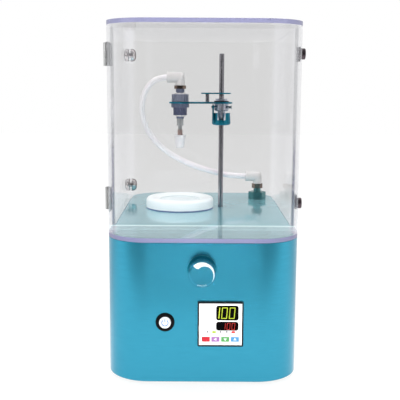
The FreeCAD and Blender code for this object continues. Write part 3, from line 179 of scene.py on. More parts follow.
def prism_into(bm: BMesh, outline: Outline, origin: Vector, thickness: float,
               across: Vector = RIGHT, up: Vector = UP) -> None:
    """Adds a flat shape of some thickness to a bmesh.

    Args:
        bm: The bmesh to add to.
        outline: Corners of the shape, as distances across and up.
        origin: Where the shape's zero point lies, on its back.
        thickness: How far the shape stands out, in the direction of across x up.
        across: Direction of the first distance.
        up: Direction of the second distance.
    """
    out = across.cross(up).normalized() * thickness
    back = [bm.verts.new(origin + across * x + up * y) for x, y in outline]
    front = [bm.verts.new(vert.co + out) for vert in back]
    count = len(outline)
    bm.faces.new(front)
    bm.faces.new(list(reversed(back)))
    for i in range(count):
        bm.faces.new((back[i], back[(i + 1) % count], front[(i + 1) % count], front[i]))


def arc_points(radius: float, start: float, end: float, steps: int) -> list[Pair]:
    """Gives points along an arc about zero, with angles in degrees.

    Args:
        radius: Radius of the arc.
        start: Angle of the first point, from the right.
        end: Angle of the last point.
        steps: Number of gaps between the points.

    Returns:
        The points, as distances across and up.
    """
    turn = (end - start) / steps
    angles = [math.radians(start + turn * i) for i in range(steps + 1)]
    return [(radius * math.cos(angle), radius * math.sin(angle)) for angle in angles]


def lathe_into(bm: BMesh, profile: Outline, centre: Vector, axis: Vector, steps: int) -> None:
    """Adds a turned shape to a bmesh.

    Args:
        bm: The bmesh to add to.
        profile: Points of the half profile as (radius, height), which end on the axis or where they began.
        centre: Where height zero lies.
        axis: Direction of the height.
        steps: Faces round the shape.
    """
    axis = axis.normalized()
    side = axis.orthogonal().normalized()
    other = axis.cross(side)
    rings = []
    for radius, height in profile:
        spot = centre + axis * height
        if radius < 1e-7:
            rings.append([bm.verts.new(spot)])
            continue
        angles = [2 * math.pi * i / steps for i in range(steps)]
        rings.append([bm.verts.new(spot + (side * math.cos(angle) + other * math.sin(angle)) * radius)
                      for angle in angles])
    for first, second in zip(rings, rings[1:]):
        for i in range(steps):
            j = (i + 1) % steps
            around = [first[i % len(first)], first[j % len(first)], second[j % len(second)],
                      second[i % len(second)]]
            unique = list(dict.fromkeys(around))
            if len(unique) > 2:
                bm.faces.new(unique)


# Shader groups that several finishes use

class NodeKit:
    """Adds and joins nodes in one node tree."""

    def __init__(self, tree: NodeTree) -> None:
        """Keeps the tree to work on."""
        self.tree = tree

    def add(self, kind: str, inputs: dict | None = None, **settings: object) -> Node:
        """Adds a node.

        Args:
            kind: Blender's name for the node type.
            inputs: Values or sockets for its inputs, by name or number.
            **settings: Properties of the node.

        Returns:
            The node.
        """
        node = self.tree.nodes.new(kind)
        for key, value in settings.items():
            setattr(node, key, value)
        self.feed(node, inputs or {})
        return node

    def feed(self, node: Node, inputs: dict) -> None:
        """Sets a node's inputs to values, or links sockets to them.

        Args:
            node: The node.
            inputs: Values or sockets for its inputs, by name or number.
        """
        for key, value in inputs.items():
            if isinstance(value, NodeSocket):
                self.tree.links.new(value, node.inputs[key])
            else:
                node.inputs[key].default_value = value

    def maths(self, operation: str, first: object, second: object = 0.0) -> NodeSocket:
        """Adds a Math node and gives its result."""
        return self.add("ShaderNodeMath", {0: first, 1: second}, operation=operation).outputs[0]

    def blend(self, share: object, first: object, second: object) -> NodeSocket:
        """Adds a colour mix and gives its result."""
        node = self.add("ShaderNodeMix", {0: share, 6: first, 7: second}, data_type="RGBA")
        return node.outputs[2]

    def between(self, share: object, first: float, second: float) -> NodeSocket:
        """Adds a number mix and gives its result."""
        return self.add("ShaderNodeMix", {0: share, 2: first, 3: second}).outputs[0]

    def stepped(self, value: object, low: float, high: float) -> NodeSocket:
        """Maps low..high to 0..1 smoothly and gives the result."""
        node = self.add("ShaderNodeMapRange", {0: value, 1: low, 2: high}, interpolation_type="SMOOTHSTEP")
        return node.outputs[0]

    def coordinates(self, kind: str = "Object") -> Sequence[NodeSocket]:
        """Gives the outputs x, y and z of the place in some kind of texture coordinates."""
        place = self.add("ShaderNodeTexCoord").outputs[kind]
        return self.add("ShaderNodeSeparateXYZ", {0: place}).outputs


def shader_group(name: str, inputs: Iterable[tuple[str, str, float]], outputs: Iterable[tuple[str, str]],
                 fill: Callable[[NodeKit, Sequence], dict]) -> NodeTree:
    """Builds a shader node group once.

    Args:
        name: Name of the group.
        inputs: Name, socket type and start value of each input; vectors take no start value.
        outputs: Name and socket type of each output.
        fill: Adds the nodes, given the group's inputs, and gives what feeds each output.

    Returns:
        The group.
    """
    if name in bpy.data.node_groups:
        return bpy.data.node_groups[name]
    group = bpy.data.node_groups.new(name, "ShaderNodeTree")
    for label, kind, start in inputs:
        socket = group.interface.new_socket(label, in_out="INPUT", socket_type=kind)
        if kind == "NodeSocketFloat":
            socket.default_value = start
    for label, kind in outputs:
        group.interface.new_socket(label, in_out="OUTPUT", socket_type=kind)
    kit = NodeKit(group)
    start, end = kit.add("NodeGroupInput"), kit.add("NodeGroupOutput")
    kit.feed(end, fill(kit, start.outputs))
    return group


def fine_grain() -> NodeTree:
    """Builds the group for the fine unevenness of moulded, cast and sprayed surfaces.

    Returns:
        A group with the outputs Mask, a slow cloud from 0 to 1, and Height, a fine one.
    """
    def fill(kit: NodeKit, given: Sequence) -> dict:
        """Adds the nodes and gives what feeds each output."""
        slow = kit.add("ShaderNodeTexNoise", {"Vector": given[0], "Scale": 22.0, "Detail": 3.0})
        fine = kit.add("ShaderNodeTexNoise", {"Vector": given[0], "Scale": given[1], "Detail": 2.0})
        return {"Mask": kit.stepped(slow.outputs[0], 0.35, 0.65), "Height": fine.outputs[0]}
    return shader_group("fine_grain",
                        [("Place", "NodeSocketVector", 0), ("Scale", "NodeSocketFloat", 900.0)],
                        [("Mask", "NodeSocketFloat"), ("Height", "NodeSocketFloat")], fill)


def brushed_lines() -> NodeTree:
    """Builds the group for fine lines that a belt or a lathe leaves.

    Returns:
        A group with the outputs Mask and Height, both from 0 to 1 across the lines.
    """
    def fill(kit: NodeKit, given: Sequence) -> dict:
        """Adds the nodes and gives what feeds each output."""
        fine = kit.add("ShaderNodeTexNoise", {"Vector": given[0], "Scale": given[1], "Detail": 3.0})
        return {"Mask": kit.stepped(fine.outputs[0], 0.3, 0.7), "Height": fine.outputs[0]}
    return shader_group("brushed_lines",
                        [("Stretched place", "NodeSocketVector", 0), ("Scale", "NodeSocketFloat", 60.0)],
                        [("Mask", "NodeSocketFloat"), ("Height", "NodeSocketFloat")], fill)


def worn_edge() -> NodeTree:
    """Builds the group that rounds edges off in the shading and marks them for a painted highlight.

    Returns:
        A group with the outputs Normal, rounded at edges, and Mask, 1 on an edge and 0 off it.
    """
    def fill(kit: NodeKit, given: Sequence) -> dict:
        """Adds the nodes and gives what feeds each output."""
        rounded = kit.add("ShaderNodeBevel", {"Radius": given[0]}, samples=4).outputs[0]
        true_normal = kit.add("ShaderNodeNewGeometry").outputs["True Normal"]
        dot = kit.add("ShaderNodeVectorMath", {0: rounded, 1: true_normal}, operation="DOT_PRODUCT")
        return {"Normal": rounded, "Mask": kit.stepped(dot.outputs["Value"], 0.98, 0.8)}
    return shader_group("worn_edge", [("Radius", "NodeSocketFloat", 0.0003)],
                        [("Normal", "NodeSocketVector"), ("Mask", "NodeSocketFloat")], fill)


@dataclass(frozen=True)
class SawnEdges:
    """Where the sawn edges of the acrylic are and how strongly they show.

    A plate shows its whole rim. A wall's rim lies in the seam between cover and door. It shows as a thin
    dark line outside, which is weaker high up, and a fainter one inside. Distances are taken from the
    object's middle.
    """

    lies_flat: Pair = (0.5, 0.9)
    faces_seam: Pair = (0.97, 0.99)
    seam_depth: float = 0.001
    outer_line: Pair = (0.0996, 0.1001)
    inner_line: Pair = (0.0996, 0.0992)
    inner_strength: float = 0.4
    fades_upwards: Pair = (0.285, 0.225)
    strength_above: float = 0.25

    def group(self) -> NodeTree:
        """Builds the group that finds the sawn edges of acrylic, which gather light and look lilac.

        Returns:
            A group with the output Mask, 1 on a sawn edge and 0 on a face.
        """
        def fill(kit: NodeKit, given: Sequence) -> dict:
            """Adds the nodes and gives what feeds each output."""
            normal = kit.add("ShaderNodeSeparateXYZ", {0: given[0]}).outputs
            place = kit.add("ShaderNodeSeparateXYZ", {0: given[1]}).outputs
            lying = kit.stepped(kit.maths("ABSOLUTE", normal[2]), *self.lies_flat)
            across = kit.stepped(kit.maths("ABSOLUTE", normal[1]), *self.faces_seam)
            off_seam = kit.maths("ABSOLUTE", kit.maths("SUBTRACT", place[1], given[2]))
            seam_face = kit.maths("MULTIPLY", across, kit.maths("LESS_THAN", off_seam, self.seam_depth))
            side = kit.maths("ABSOLUTE", place[0])
            strength = kit.between(kit.stepped(place[2], *self.fades_upwards), self.strength_above, 1.0)
            outer = kit.maths("MULTIPLY", kit.stepped(side, *self.outer_line), strength)
            inner = kit.maths("MULTIPLY", kit.stepped(side, *self.inner_line), self.inner_strength)
            line = kit.maths("MULTIPLY", seam_face, kit.maths("MAXIMUM", outer, inner))
            rim = kit.maths("MULTIPLY", kit.maths("SUBTRACT", 1.0, lying),
                            kit.maths("SUBTRACT", 1.0, seam_face))
            return {"Mask": kit.between(given[3], line, rim)}
        return shader_group("cut_edge_of_acrylic",
                            [("Normal", "NodeSocketVector", 0), ("Place", "NodeSocketVector", 0),
                             ("Seam", "NodeSocketFloat", 0.0), ("Lies flat", "NodeSocketFloat", 0.0)],
                            [("Mask", "NodeSocketFloat")], fill)


# Finishes

MADE: dict[str, Material] = {}


class Coating:
    """What all finishes share: each is built once and then given by its name."""

    name: str

    def build(self) -> Material:
        """Makes the material, or gives it if it has been made.

        Returns:
            The material.
        """
        if self.name not in MADE:
            material = bpy.data.materials.new(f"finish_{self.name}")
            material.use_nodes = True
            MADE[self.name] = material
            kit = NodeKit(material.node_tree)
            self.wire(kit, kit.tree.nodes["Principled BSDF"])
        return MADE[self.name]

    def wire(self, kit: NodeKit, shader: Node) -> None:
        """Adds the finish's nodes to a new material.

        Args:
            kit: The material's kit.
            shader: Its Principled node.
        """
        raise NotImplementedError


class Grain(Enum):
    """The marks that a finish shows close up."""

    FINE = "fine"
    BRUSHED_ACROSS = "brushed across"
    BRUSHED_UP = "brushed up"
    TURNED = "turned"


@dataclass(frozen=True)
class Finish(Coating):
    """An opaque finish with grain, colour variation and a painted highlight on its edges.

    A rim is a second, darker colour seen aslant, a painted shade at the sides.
    A foot is a height at which a thin dark line, a painted contact shadow, runs round the piece.
    """

    name: str
    colour: Colour
    second: Colour
    roughness: float
    metallic: float = 0.0
    coat: float = 0.0
    grain: Grain = Grain.FINE
    grain_scale: float = 900.0
    grain_depth: float = 0.04
    # Edges: width of the bevel and of the painted highlight on them, and how strong that highlight is
    edge_radius: float = 0.0003
    painted_edge_highlight: float = 0.25
    specular: float = 0.5
    centre: Point = (0.0, 0.0, 0.0)
    # glow: emission; on the digits and lit lamps it is their own light, on other parts it is painted light
    glow: float = 0.0
    # rim: painted shade, a darker colour where the surface is seen aslant
    rim: Colour | None = None
    # foot: height of a painted contact shadow, a thin dark line round the piece
    foot: float | None = None
    contact_shadow_colour: Colour = (96, 112, 158)
    contact_shadow_band: Pair = (0.0016, 0.0008)
    turned_scale: float = 60.0
    brushed_stretch: float = 40.0
    bump_depth: float = 0.0002
    coat_roughness: float = 0.06
    roughness_spread: Pair = (0.92, 1.1)
    edge_highlight_gain: float = 1.25
    edge_highlight_lift: float = 0.06
    aslant_shade_band: Pair = (0.3, 0.75)

    def grain_place(self, kit: NodeKit) -> NodeSocket:
        """Gives the place that the grain is read at, stretched along brushed lines or turned into rings.

        Args:
            kit: The material's kit.

        Returns:
            The place.
        """
        place = kit.add("ShaderNodeTexCoord").outputs["Object"]
        far = self.brushed_stretch
        stretch = {Grain.BRUSHED_ACROSS: (1.0, 1.0, far), Grain.BRUSHED_UP: (far, far, 1.0)}
        if self.grain in stretch:
            return kit.add("ShaderNodeMapping", {0: place, 3: stretch[self.grain]}).outputs[0]
        if self.grain is Grain.TURNED:
            shifted = kit.add("ShaderNodeMapping", {0: place, 1: tuple(-part for part in self.centre),
                                                    3: (1.0, 1.0, 0.0)}).outputs[0]
            radius = kit.add("ShaderNodeVectorMath", {0: shifted}, operation="LENGTH").outputs["Value"]
            rings = kit.maths("MULTIPLY", radius, self.turned_scale)
            return kit.add("ShaderNodeCombineXYZ", {0: rings}).outputs[0]
        return place

    def colouring(self, kit: NodeKit, mottle: NodeSocket, edge: NodeSocket) -> NodeSocket:
        """Gives the colour over the surface.

        Args:
            kit: The material's kit.
            mottle: Mask of the slow variation.
            edge: Mask of the edges.

        Returns:
            The colour.
        """
        body = kit.blend(mottle, shown(self.colour), shown(self.second))
        # Painted highlight: a lighter copy of the colour laid along the edges
        light = opaque(tuple(min(1.0, part * self.edge_highlight_gain + self.edge_highlight_lift)
                             for part in linear(self.colour)))
        colour = kit.blend(kit.maths("MULTIPLY", edge, self.painted_edge_highlight), body, light)
        # Painted contact shadow: a thin dark bluish line just above the foot
        if self.foot is not None:
            above = kit.maths("SUBTRACT", kit.coordinates()[2], self.foot)
            colour = kit.blend(kit.stepped(above, *self.contact_shadow_band), colour, shown(self.contact_shadow_colour))
        # Painted shade: the sides seen aslant turn to the darker rim colour
        if self.rim:
            facing = kit.add("ShaderNodeLayerWeight", {"Blend": 0.5}).outputs["Facing"]
            colour = kit.blend(kit.stepped(facing, *self.aslant_shade_band), colour, shown(self.rim))
        return colour

    def wire(self, kit: NodeKit, shader: Node) -> None:
        """Adds grain, colour, edges rounded in the shading with a painted highlight, and bump.

        Args:
            kit: The material's kit.
            shader: Its Principled node.
        """
        group = fine_grain() if self.grain is Grain.FINE else brushed_lines()
        grain = kit.add("ShaderNodeGroup", node_tree=group)
        kit.feed(grain, {0: self.grain_place(kit), 1: self.grain_scale})
        edge = kit.add("ShaderNodeGroup", node_tree=worn_edge())
        kit.feed(edge, {0: self.edge_radius})
        colour = self.colouring(kit, grain.outputs["Mask"], edge.outputs["Mask"])
        bump = kit.add("ShaderNodeBump", {"Strength": self.grain_depth, "Distance": self.bump_depth,
                                          "Height": grain.outputs["Height"],
                                          "Normal": edge.outputs["Normal"]})
        smooth, rough = (self.roughness * share for share in self.roughness_spread)
        kit.feed(shader, {
            "Base Color": colour, "Roughness": kit.between(grain.outputs["Mask"], smooth, rough),
            "Normal": bump.outputs[0], "Metallic": self.metallic, "Specular IOR Level": self.specular,
            "Coat Weight": self.coat, "Coat Roughness": self.coat_roughness})
        # Emission: painted light, except on the digits and lit lamps
        if self.glow > 0:
            kit.feed(shader, {"Emission Color": colour, "Emission Strength": self.glow})


@dataclass(frozen=True)
class Acrylic(Coating):
    """Clear cast acrylic: light passes straight through, faces mirror more aslant, sawn edges are lilac.

    The door's floor plate lies on the deck. It shows a painted highlight, a bright glowing line, at the
    seam and is clear past the deck's edge.
    """

    name: str
    lies_flat: bool
    seam: float
    face: float = 0.095
    slant: float = 0.4
    square_on: Colour = (107, 107, 112)
    glancing: Colour = (240, 241, 248)
    edge_colour: Colour = (34, 36, 88)
    metal: float = 1.0
    on_deck: bool = False
    # Painted highlight: a bright glowing band along the seam
    seam_highlight_colour: Colour = (214, 244, 247)
    seam_highlight_band: Pair = (0.0085, 0.0055)
    seam_highlight_dense: float = 0.96
    seam_highlight_glow: float = 0.25
    past_deck: Pair = (0.0945, 0.0975)
    past_deck_colour: Colour = (222, 214, 228)
    edge_dense: float = 0.94
    edge_roughness: float = 0.35
    face_roughness: Pair = (0.015, 0.05)
    lets_light_by: float = 0.95
    glancing_band: Pair = (0.3, 0.8)
    slant_power: float = 4.0

    def wire(self, kit: NodeKit, shader: Node) -> None:
        """Adds mirror colours, clearness and sawn edges.

        Args:
            kit: The material's kit.
            shader: Its Principled node.
        """
        where = kit.add("ShaderNodeTexCoord").outputs
        mask = kit.add("ShaderNodeGroup", node_tree=SawnEdges().group())
        kit.feed(mask, {0: where["Normal"], 1: where["Object"], 2: self.seam, 3: float(self.lies_flat)})
        behind = kit.add("ShaderNodeNewGeometry").outputs["Backfacing"]
        edge = kit.maths("MULTIPLY", mask.outputs[0], kit.maths("SUBTRACT", 1.0, behind))
        facing = kit.add("ShaderNodeLayerWeight", {"Blend": 0.5}).outputs["Facing"]
        mirror = kit.blend(kit.stepped(facing, *self.glancing_band), shown(self.square_on),
                           shown(self.glancing))
        clear = kit.between(kit.maths("POWER", facing, self.slant_power), self.face, self.slant)
        # On the deck: the painted highlight along the seam, and a paler mirror past the deck's edge
        if self.on_deck:
            place = kit.coordinates()
            off_seam = kit.maths("ABSOLUTE", kit.maths("SUBTRACT", place[1], self.seam))
            seam_highlight = kit.stepped(off_seam, *self.seam_highlight_band)
            off_deck = kit.stepped(kit.maths("ABSOLUTE", place[0]), *self.past_deck)
            mirror = kit.blend(off_deck, mirror, shown(self.past_deck_colour))
            mirror = kit.blend(seam_highlight, mirror, shown(self.seam_highlight_colour))
            clear = kit.maths("MAXIMUM", clear, kit.maths("MULTIPLY", seam_highlight, self.seam_highlight_dense))
            kit.feed(shader, {"Emission Color": mirror,
                              "Emission Strength": kit.maths("MULTIPLY", seam_highlight, self.seam_highlight_glow)})
        path = kit.add("ShaderNodeLightPath").outputs
        passing = kit.maths("MAXIMUM", path["Is Shadow Ray"], path["Is Diffuse Ray"])
        seen = kit.maths("SUBTRACT", 1.0, kit.maths("MULTIPLY", passing, self.lets_light_by))
        grain = kit.add("ShaderNodeGroup", node_tree=fine_grain())
        kit.feed(grain, {0: where["Object"]})
        smear = kit.between(grain.outputs["Mask"], *self.face_roughness)
        kit.feed(shader, {
            "Base Color": kit.blend(edge, mirror, shown(self.edge_colour)),
            "Alpha": kit.maths("MULTIPLY", kit.between(edge, clear, self.edge_dense), seen),
            "Metallic": kit.maths("MULTIPLY", kit.maths("SUBTRACT", 1.0, edge), self.metal),
            "Roughness": kit.between(edge, smear, self.edge_roughness)})


@dataclass(frozen=True)
class Silicone(Coating):
    """Milky silicone: a little clear where it is seen square on, dense at its sides."""

    name: str
    colour: Colour
    square_on: float
    aslant: float
    roughness: float = 0.28
    coat: float = 0.3
    roughness_spread: Pair = (0.9, 1.15)
    cloud_gain: float = 1.06

    def wire(self, kit: NodeKit, shader: Node) -> None:
        """Adds a faint cloud, and density that grows towards the sides.

        Args:
            kit: The material's kit.
            shader: Its Principled node.
        """
        grain = kit.add("ShaderNodeGroup", node_tree=fine_grain())
        kit.feed(grain, {0: kit.add("ShaderNodeTexCoord").outputs["Object"]})
        mottle = grain.outputs["Mask"]
        paler = tuple(min(1.0, part * self.cloud_gain) for part in linear(self.colour))
        facing = kit.add("ShaderNodeLayerWeight", {"Blend": 0.35}).outputs["Facing"]
        smooth, rough = (self.roughness * share for share in self.roughness_spread)
        kit.feed(shader, {
            "Base Color": kit.blend(mottle, shown(self.colour), opaque(paler)),
            "Alpha": kit.between(facing, self.square_on, self.aslant),
            "Roughness": kit.between(mottle, smooth, rough),
            "Coat Weight": self.coat})


@dataclass
class Finishes:
    """Every finish of the evaporator, by what it is used on."""

    seam: float
    heater: Point
    paint: Finish = Finish("teal_paint", (58, 152, 180), (52, 146, 175), 0.24, 0.85, 0.0,
                           Grain.BRUSHED_ACROSS, 60.0, 0.025, 0.0006, 0.35)
    # Deck: a strong painted highlight, a bright line, along its edges
    deck: Finish = Finish("deck_teal", (136, 193, 204), (129, 187, 199), 0.07, 0.22, 0.24,
                          edge_radius=0.0012, grain_depth=0.0, painted_edge_highlight=1.0)
    # Ring: glows a little, painted light that brightens its sides
    ring: Finish = Finish("white_ring", (244, 249, 251), (238, 245, 248), 0.3, coat=0.25,
                          edge_radius=0.0006, glow=0.22)
    rod: Finish = Finish("rod_steel", (178, 176, 182), (165, 163, 170), 0.24, 1.0, grain=Grain.BRUSHED_UP,
                         grain_scale=120.0)
    teal_metal: Finish = Finish("teal_anodised", (32, 132, 156), (27, 120, 144), 0.32, 0.75,
                                grain_scale=1600.0, grain_depth=0.08, painted_edge_highlight=0.5)
    port_metal: Finish = Finish("teal_nut", (92, 150, 152), (80, 138, 142), 0.22, 0.85,
                                grain=Grain.BRUSHED_UP, grain_scale=200.0, painted_edge_highlight=0.6)
    # Nickel: its rim colour is a painted dark shade at the sides
    nickel: Finish = Finish("nickel", (178, 160, 148), (160, 142, 132), 0.16, 1.0, painted_edge_highlight=0.5,
                            rim=(92, 72, 64))
    chrome: Finish = Finish("chrome", (226, 226, 228), (216, 216, 220), 0.07, 1.0, grain_depth=0.01)
    # Bolt heads: their rim colour is a painted dark shade at the sides
    bolt: Finish = Finish("bolt_chrome", (236, 230, 230), (226, 220, 220), 0.17, 1.0, grain_depth=0.01,
                          rim=(74, 50, 48))
    hinge: Finish = Finish("hinge_steel", (216, 217, 216), (200, 201, 202), 0.3, 1.0,
                           grain=Grain.BRUSHED_UP, grain_scale=90.0, painted_edge_highlight=0.5)
    zinc: Finish = Finish("zinc_steel", (176, 178, 176), (160, 163, 164), 0.4, 0.9)
    dark_metal: Finish = Finish("knob_dark", (96, 84, 88), (82, 72, 78), 0.28, 0.9, painted_edge_highlight=0.6)
    clamp: Finish = Finish("clamp_metal", (204, 207, 220), (184, 188, 204), 0.3, 0.9, painted_edge_highlight=0.6)
    blue_grey: Finish = Finish("blue_grey_plastic", (96, 103, 126), (84, 91, 113), 0.38, painted_edge_highlight=1.0,
                               edge_radius=0.0005, coat=0.15)
    # Lit and shaded copies of the blue-grey plastic: upper nut painted lighter, lower nut painted darker
    light_nut: Finish = Finish("light_nut", (122, 127, 144), (106, 111, 129), 0.38, painted_edge_highlight=1.0,
                               edge_radius=0.0006, coat=0.15)
    dark_nut: Finish = Finish("dark_nut", (78, 84, 112), (68, 74, 101), 0.38, painted_edge_highlight=1.2,
                              edge_radius=0.0006, coat=0.15)
    white_plastic: Finish = Finish("white_plastic", (226, 224, 224), (216, 213, 213), 0.24, coat=0.5)
    white_cone: Finish = Finish("white_cone", (240, 238, 241), (232, 230, 234), 0.4)
    sleeve: Finish = Finish("nozzle_sleeve", (160, 138, 132), (142, 122, 118), 0.4)
    black_plastic: Finish = Finish("black_plastic", (16, 17, 20), (12, 13, 16), 0.42, grain_scale=1400.0,
                                   grain_depth=0.12, painted_edge_highlight=0.12, specular=0.25)
    switch_ring: Finish = Finish("switch_black", (10, 8, 9), (8, 6, 7), 0.1, specular=0.1, painted_edge_highlight=0.3,
                                 edge_radius=0.0008)
    button: Finish = Finish("button_white", (246, 247, 252), (240, 242, 250), 0.28)
    # Controller face: glows a little, painted light
    face: Finish = Finish("face_white", (252, 252, 252), (249, 249, 250), 0.34, glow=0.2)
    screen: Finish = Finish("display_dark", (5, 4, 5), (3, 3, 3), 0.3, specular=0.03)
    knob: Finish = Finish("knob_teal", (34, 138, 166), (28, 126, 156), 0.2, 0.8, 0.5, edge_radius=0.0008,
                          painted_edge_highlight=0.6, grain_depth=0.02)
    rubber: Finish = Finish("black_rubber", (28, 28, 30), (22, 22, 24), 0.75, grain_depth=0.3)
    brass: Finish = Finish("valve_brass", (190, 160, 104), (172, 144, 92), 0.3, 1.0)
    # Print: glows a little, painted light
    white_print: Finish = Finish("white_print", (240, 243, 245), (234, 238, 241), 0.45, glow=0.08)
    symbol_blue: Finish = Finish("symbol_blue", (70, 138, 214), (64, 130, 208), 0.4)
    digit_green: Finish = Finish("digit_green", (182, 200, 40), (174, 192, 36), 0.4, glow=0.32)
    digit_red: Finish = Finish("digit_red", (196, 40, 30), (186, 36, 27), 0.4, glow=0.45)
    lamp_off: Finish = Finish("lamp_off", (120, 122, 124), (106, 108, 110), 0.3)
    lamp_green: Finish = Finish("lamp_green", (160, 186, 44), (150, 178, 40), 0.4, glow=0.3)
    lamp_red: Finish = Finish("lamp_red", (230, 60, 56), (222, 54, 50), 0.4, glow=0.7)
    key_red: Finish = Finish("key_red", (206, 40, 54), (198, 36, 50), 0.5)
    key_purple: Finish = Finish("key_purple", (176, 126, 188), (169, 118, 182), 0.5)
    key_green: Finish = Finish("key_green", (104, 176, 104), (97, 169, 98), 0.5)
    key_blue: Finish = Finish("key_blue", (92, 164, 216), (86, 157, 211), 0.5)
    hose: Silicone = Silicone("hose_silicone", (255, 246, 252), 0.8, 0.98)
    tube: Silicone = Silicone("tube_clear", (166, 168, 170), 0.6, 0.95, 0.12)
    heater_top: Finish = field(init=False)
    walls: Acrylic = field(init=False)
    plates: Acrylic = field(init=False)
    door_floor: Acrylic = field(init=False)

    def __post_init__(self) -> None:
        """Makes the finishes that depend on where a piece stands."""
        # Heater top: glows a little, painted light
        self.heater_top = Finish("heater_metal", (238, 246, 248), (226, 238, 242), 0.3, 0.1,
                                 grain=Grain.TURNED, grain_scale=40.0, centre=self.heater, glow=0.15)
        # The ring gets a painted contact shadow where it sits on the deck
        self.ring = replace(self.ring, foot=corners("heater_ring")[0].z)
        self.walls = Acrylic("clear_acrylic", False, self.seam)
        self.plates = Acrylic("lilac_acrylic", True, self.seam, 0.06, 0.45, (200, 200, 206),
                              edge_colour=(142, 143, 181))
        # The door's floor plate carries the painted highlight along the seam
        self.door_floor = Acrylic("lilac_acrylic_on_deck", True, self.seam, 0.62, 0.84,
                                  (140, 176, 184), (172, 204, 211), (133, 131, 168), 0.45, True)


def dress(finish: Coating, *nodes: str) -> None:
    """Gives frame nodes their finish.

    Args:
        finish: The finish.
        *nodes: Names of the nodes.
    """
    material = finish.build()
    for name in nodes:
        node = FRAME["nodes"][name]
        for slot in node.material_slots:
            slot.material = material
        LOG.info("dressed %s in %s", name, finish.name)


# Geometry nodes for what repeats

def ring_of_marks(name: str, count: int, radius: float, size: Point, start: float, sweep: float,
                  centre: Vector, finish: Finish) -> Mesh:
    """Lays small bars along an arc in a plane that faces the front.

    Args:
        name: Name of the node tree and mesh.
        count: How many bars.
        radius: Radius of the arc.
        size: Width, depth and height of a bar; its height lies along the radius.
        start: Angle of the first bar in degrees, from the right, anticlockwise as seen from the front.
        sweep: Angle from the first to the last bar in degrees.
        centre: Centre of the arc.
        finish: Finish of the bars.

    Returns:
        A plain mesh with all the bars.
    """
    kit, entry, values = start_tree(name, (
        ("Count", "NodeSocketInt", count), ("Radius", "NodeSocketFloat", radius),
        ("Start", "NodeSocketFloat", math.radians(start)),
        ("Sweep", "NodeSocketFloat", math.radians(sweep)),
        ("Finish", "NodeSocketMaterial", finish.build())))
    points = kit.add("GeometryNodePoints", {"Count": entry.outputs["Count"]})
    index = kit.add("GeometryNodeInputIndex").outputs[0]
    gaps = kit.maths("SUBTRACT", entry.outputs["Count"], 1.0)
    share = kit.maths("DIVIDE", index, gaps)
    angle = kit.maths("ADD", kit.maths("MULTIPLY", share, entry.outputs["Sweep"]), entry.outputs["Start"])
    spot = kit.add("ShaderNodeCombineXYZ", {
        0: kit.maths("MULTIPLY", kit.maths("COSINE", angle), entry.outputs["Radius"]),
        2: kit.maths("MULTIPLY", kit.maths("SINE", angle), entry.outputs["Radius"])})
    moved = kit.add("ShaderNodeVectorMath", {0: spot.outputs[0], 1: tuple(centre)}, operation="ADD")
    placed = kit.add("GeometryNodeSetPosition", {"Geometry": points.outputs[0],
                                                 "Position": moved.outputs[0]})
    tilt = kit.maths("SUBTRACT", math.pi / 2, angle)
    turn = kit.add("ShaderNodeCombineXYZ", {1: tilt})
    bar = kit.add("GeometryNodeMeshCube", {"Size": size})
    copies = kit.add("GeometryNodeInstanceOnPoints", {
        "Points": placed.outputs[0], "Instance": bar.outputs[0], "Rotation": turn.outputs[0]})
    end_tree(kit, copies.outputs[0], entry)
    return mesh_of_tree(name, kit.tree, values)


def copies_of(name: str, template: Mesh, places: Sequence[Vector], size: float, finish: Finish) -> Mesh:
    """Puts a copy of a small mesh at each of some places.

    Args:
        name: Name of the node tree and mesh.
        template: The mesh to copy, drawn about zero.
        places: Where the copies go.
        size: How much the copies are scaled.
        finish: Finish of the copies.

    Returns:
        A plain mesh with all the copies.
    """
    original = bpy.data.objects.new(name + "_original", template)
    kit, entry, values = start_tree(name, (
        ("Original", "NodeSocketObject", original), ("Size", "NodeSocketFloat", size),
        ("Finish", "NodeSocketMaterial", finish.build())))
    shape = kit.add("GeometryNodeObjectInfo", {"Object": entry.outputs["Original"]}).outputs["Geometry"]
    points = kit.add("GeometryNodeMeshToPoints", {"Mesh": entry.outputs["Geometry"]})
    copies = kit.add("GeometryNodeInstanceOnPoints", {"Points": points.outputs[0], "Instance": shape,
                                                      "Scale": entry.outputs["Size"]})
    end_tree(kit, copies.outputs[0], entry)
    start = bpy.data.meshes.new(name + "_places")
    start.from_pydata([tuple(place) for place in places], [], [])
    mesh = mesh_of_tree(name, kit.tree, values, start)
    bpy.data.objects.remove(original)
    return mesh


def start_tree(name: str, inputs: Sequence[tuple[str, str, object]]
               ) -> tuple[NodeKit, Node, dict[str, object]]:
    """Starts a geometry node tree with named inputs.

    Args:
        name: Name of the tree.
        inputs: Name, socket type and value of each input after the geometry.

    Returns:
        The tree's kit, its input node and the values by socket identifier.
    """
    tree = bpy.data.node_groups.new(name, "GeometryNodeTree")
    tree.interface.new_socket("Geometry", in_out="OUTPUT", socket_type="NodeSocketGeometry")
    tree.interface.new_socket("Geometry", in_out="INPUT", socket_type="NodeSocketGeometry")
    values = {}
    for label, kind, value in inputs:
        socket = tree.interface.new_socket(label, in_out="INPUT", socket_type=kind)
        values[socket.identifier] = value
    kit = NodeKit(tree)
    return kit, kit.add("NodeGroupInput"), values


def end_tree(kit: NodeKit, instances: NodeSocket, entry: Node) -> None:
    """Ends a geometry node tree with real geometry that carries the finish.

    Args:
        kit: The tree's kit.
        instances: The copies.
        entry: The tree's input node.
    """
    real = kit.add("GeometryNodeRealizeInstances", {0: instances})
    coloured = kit.add("GeometryNodeSetMaterial", {"Geometry": real.outputs[0],
                                                   "Material": entry.outputs["Finish"]})
    kit.add("NodeGroupOutput", {0: coloured.outputs[0]})


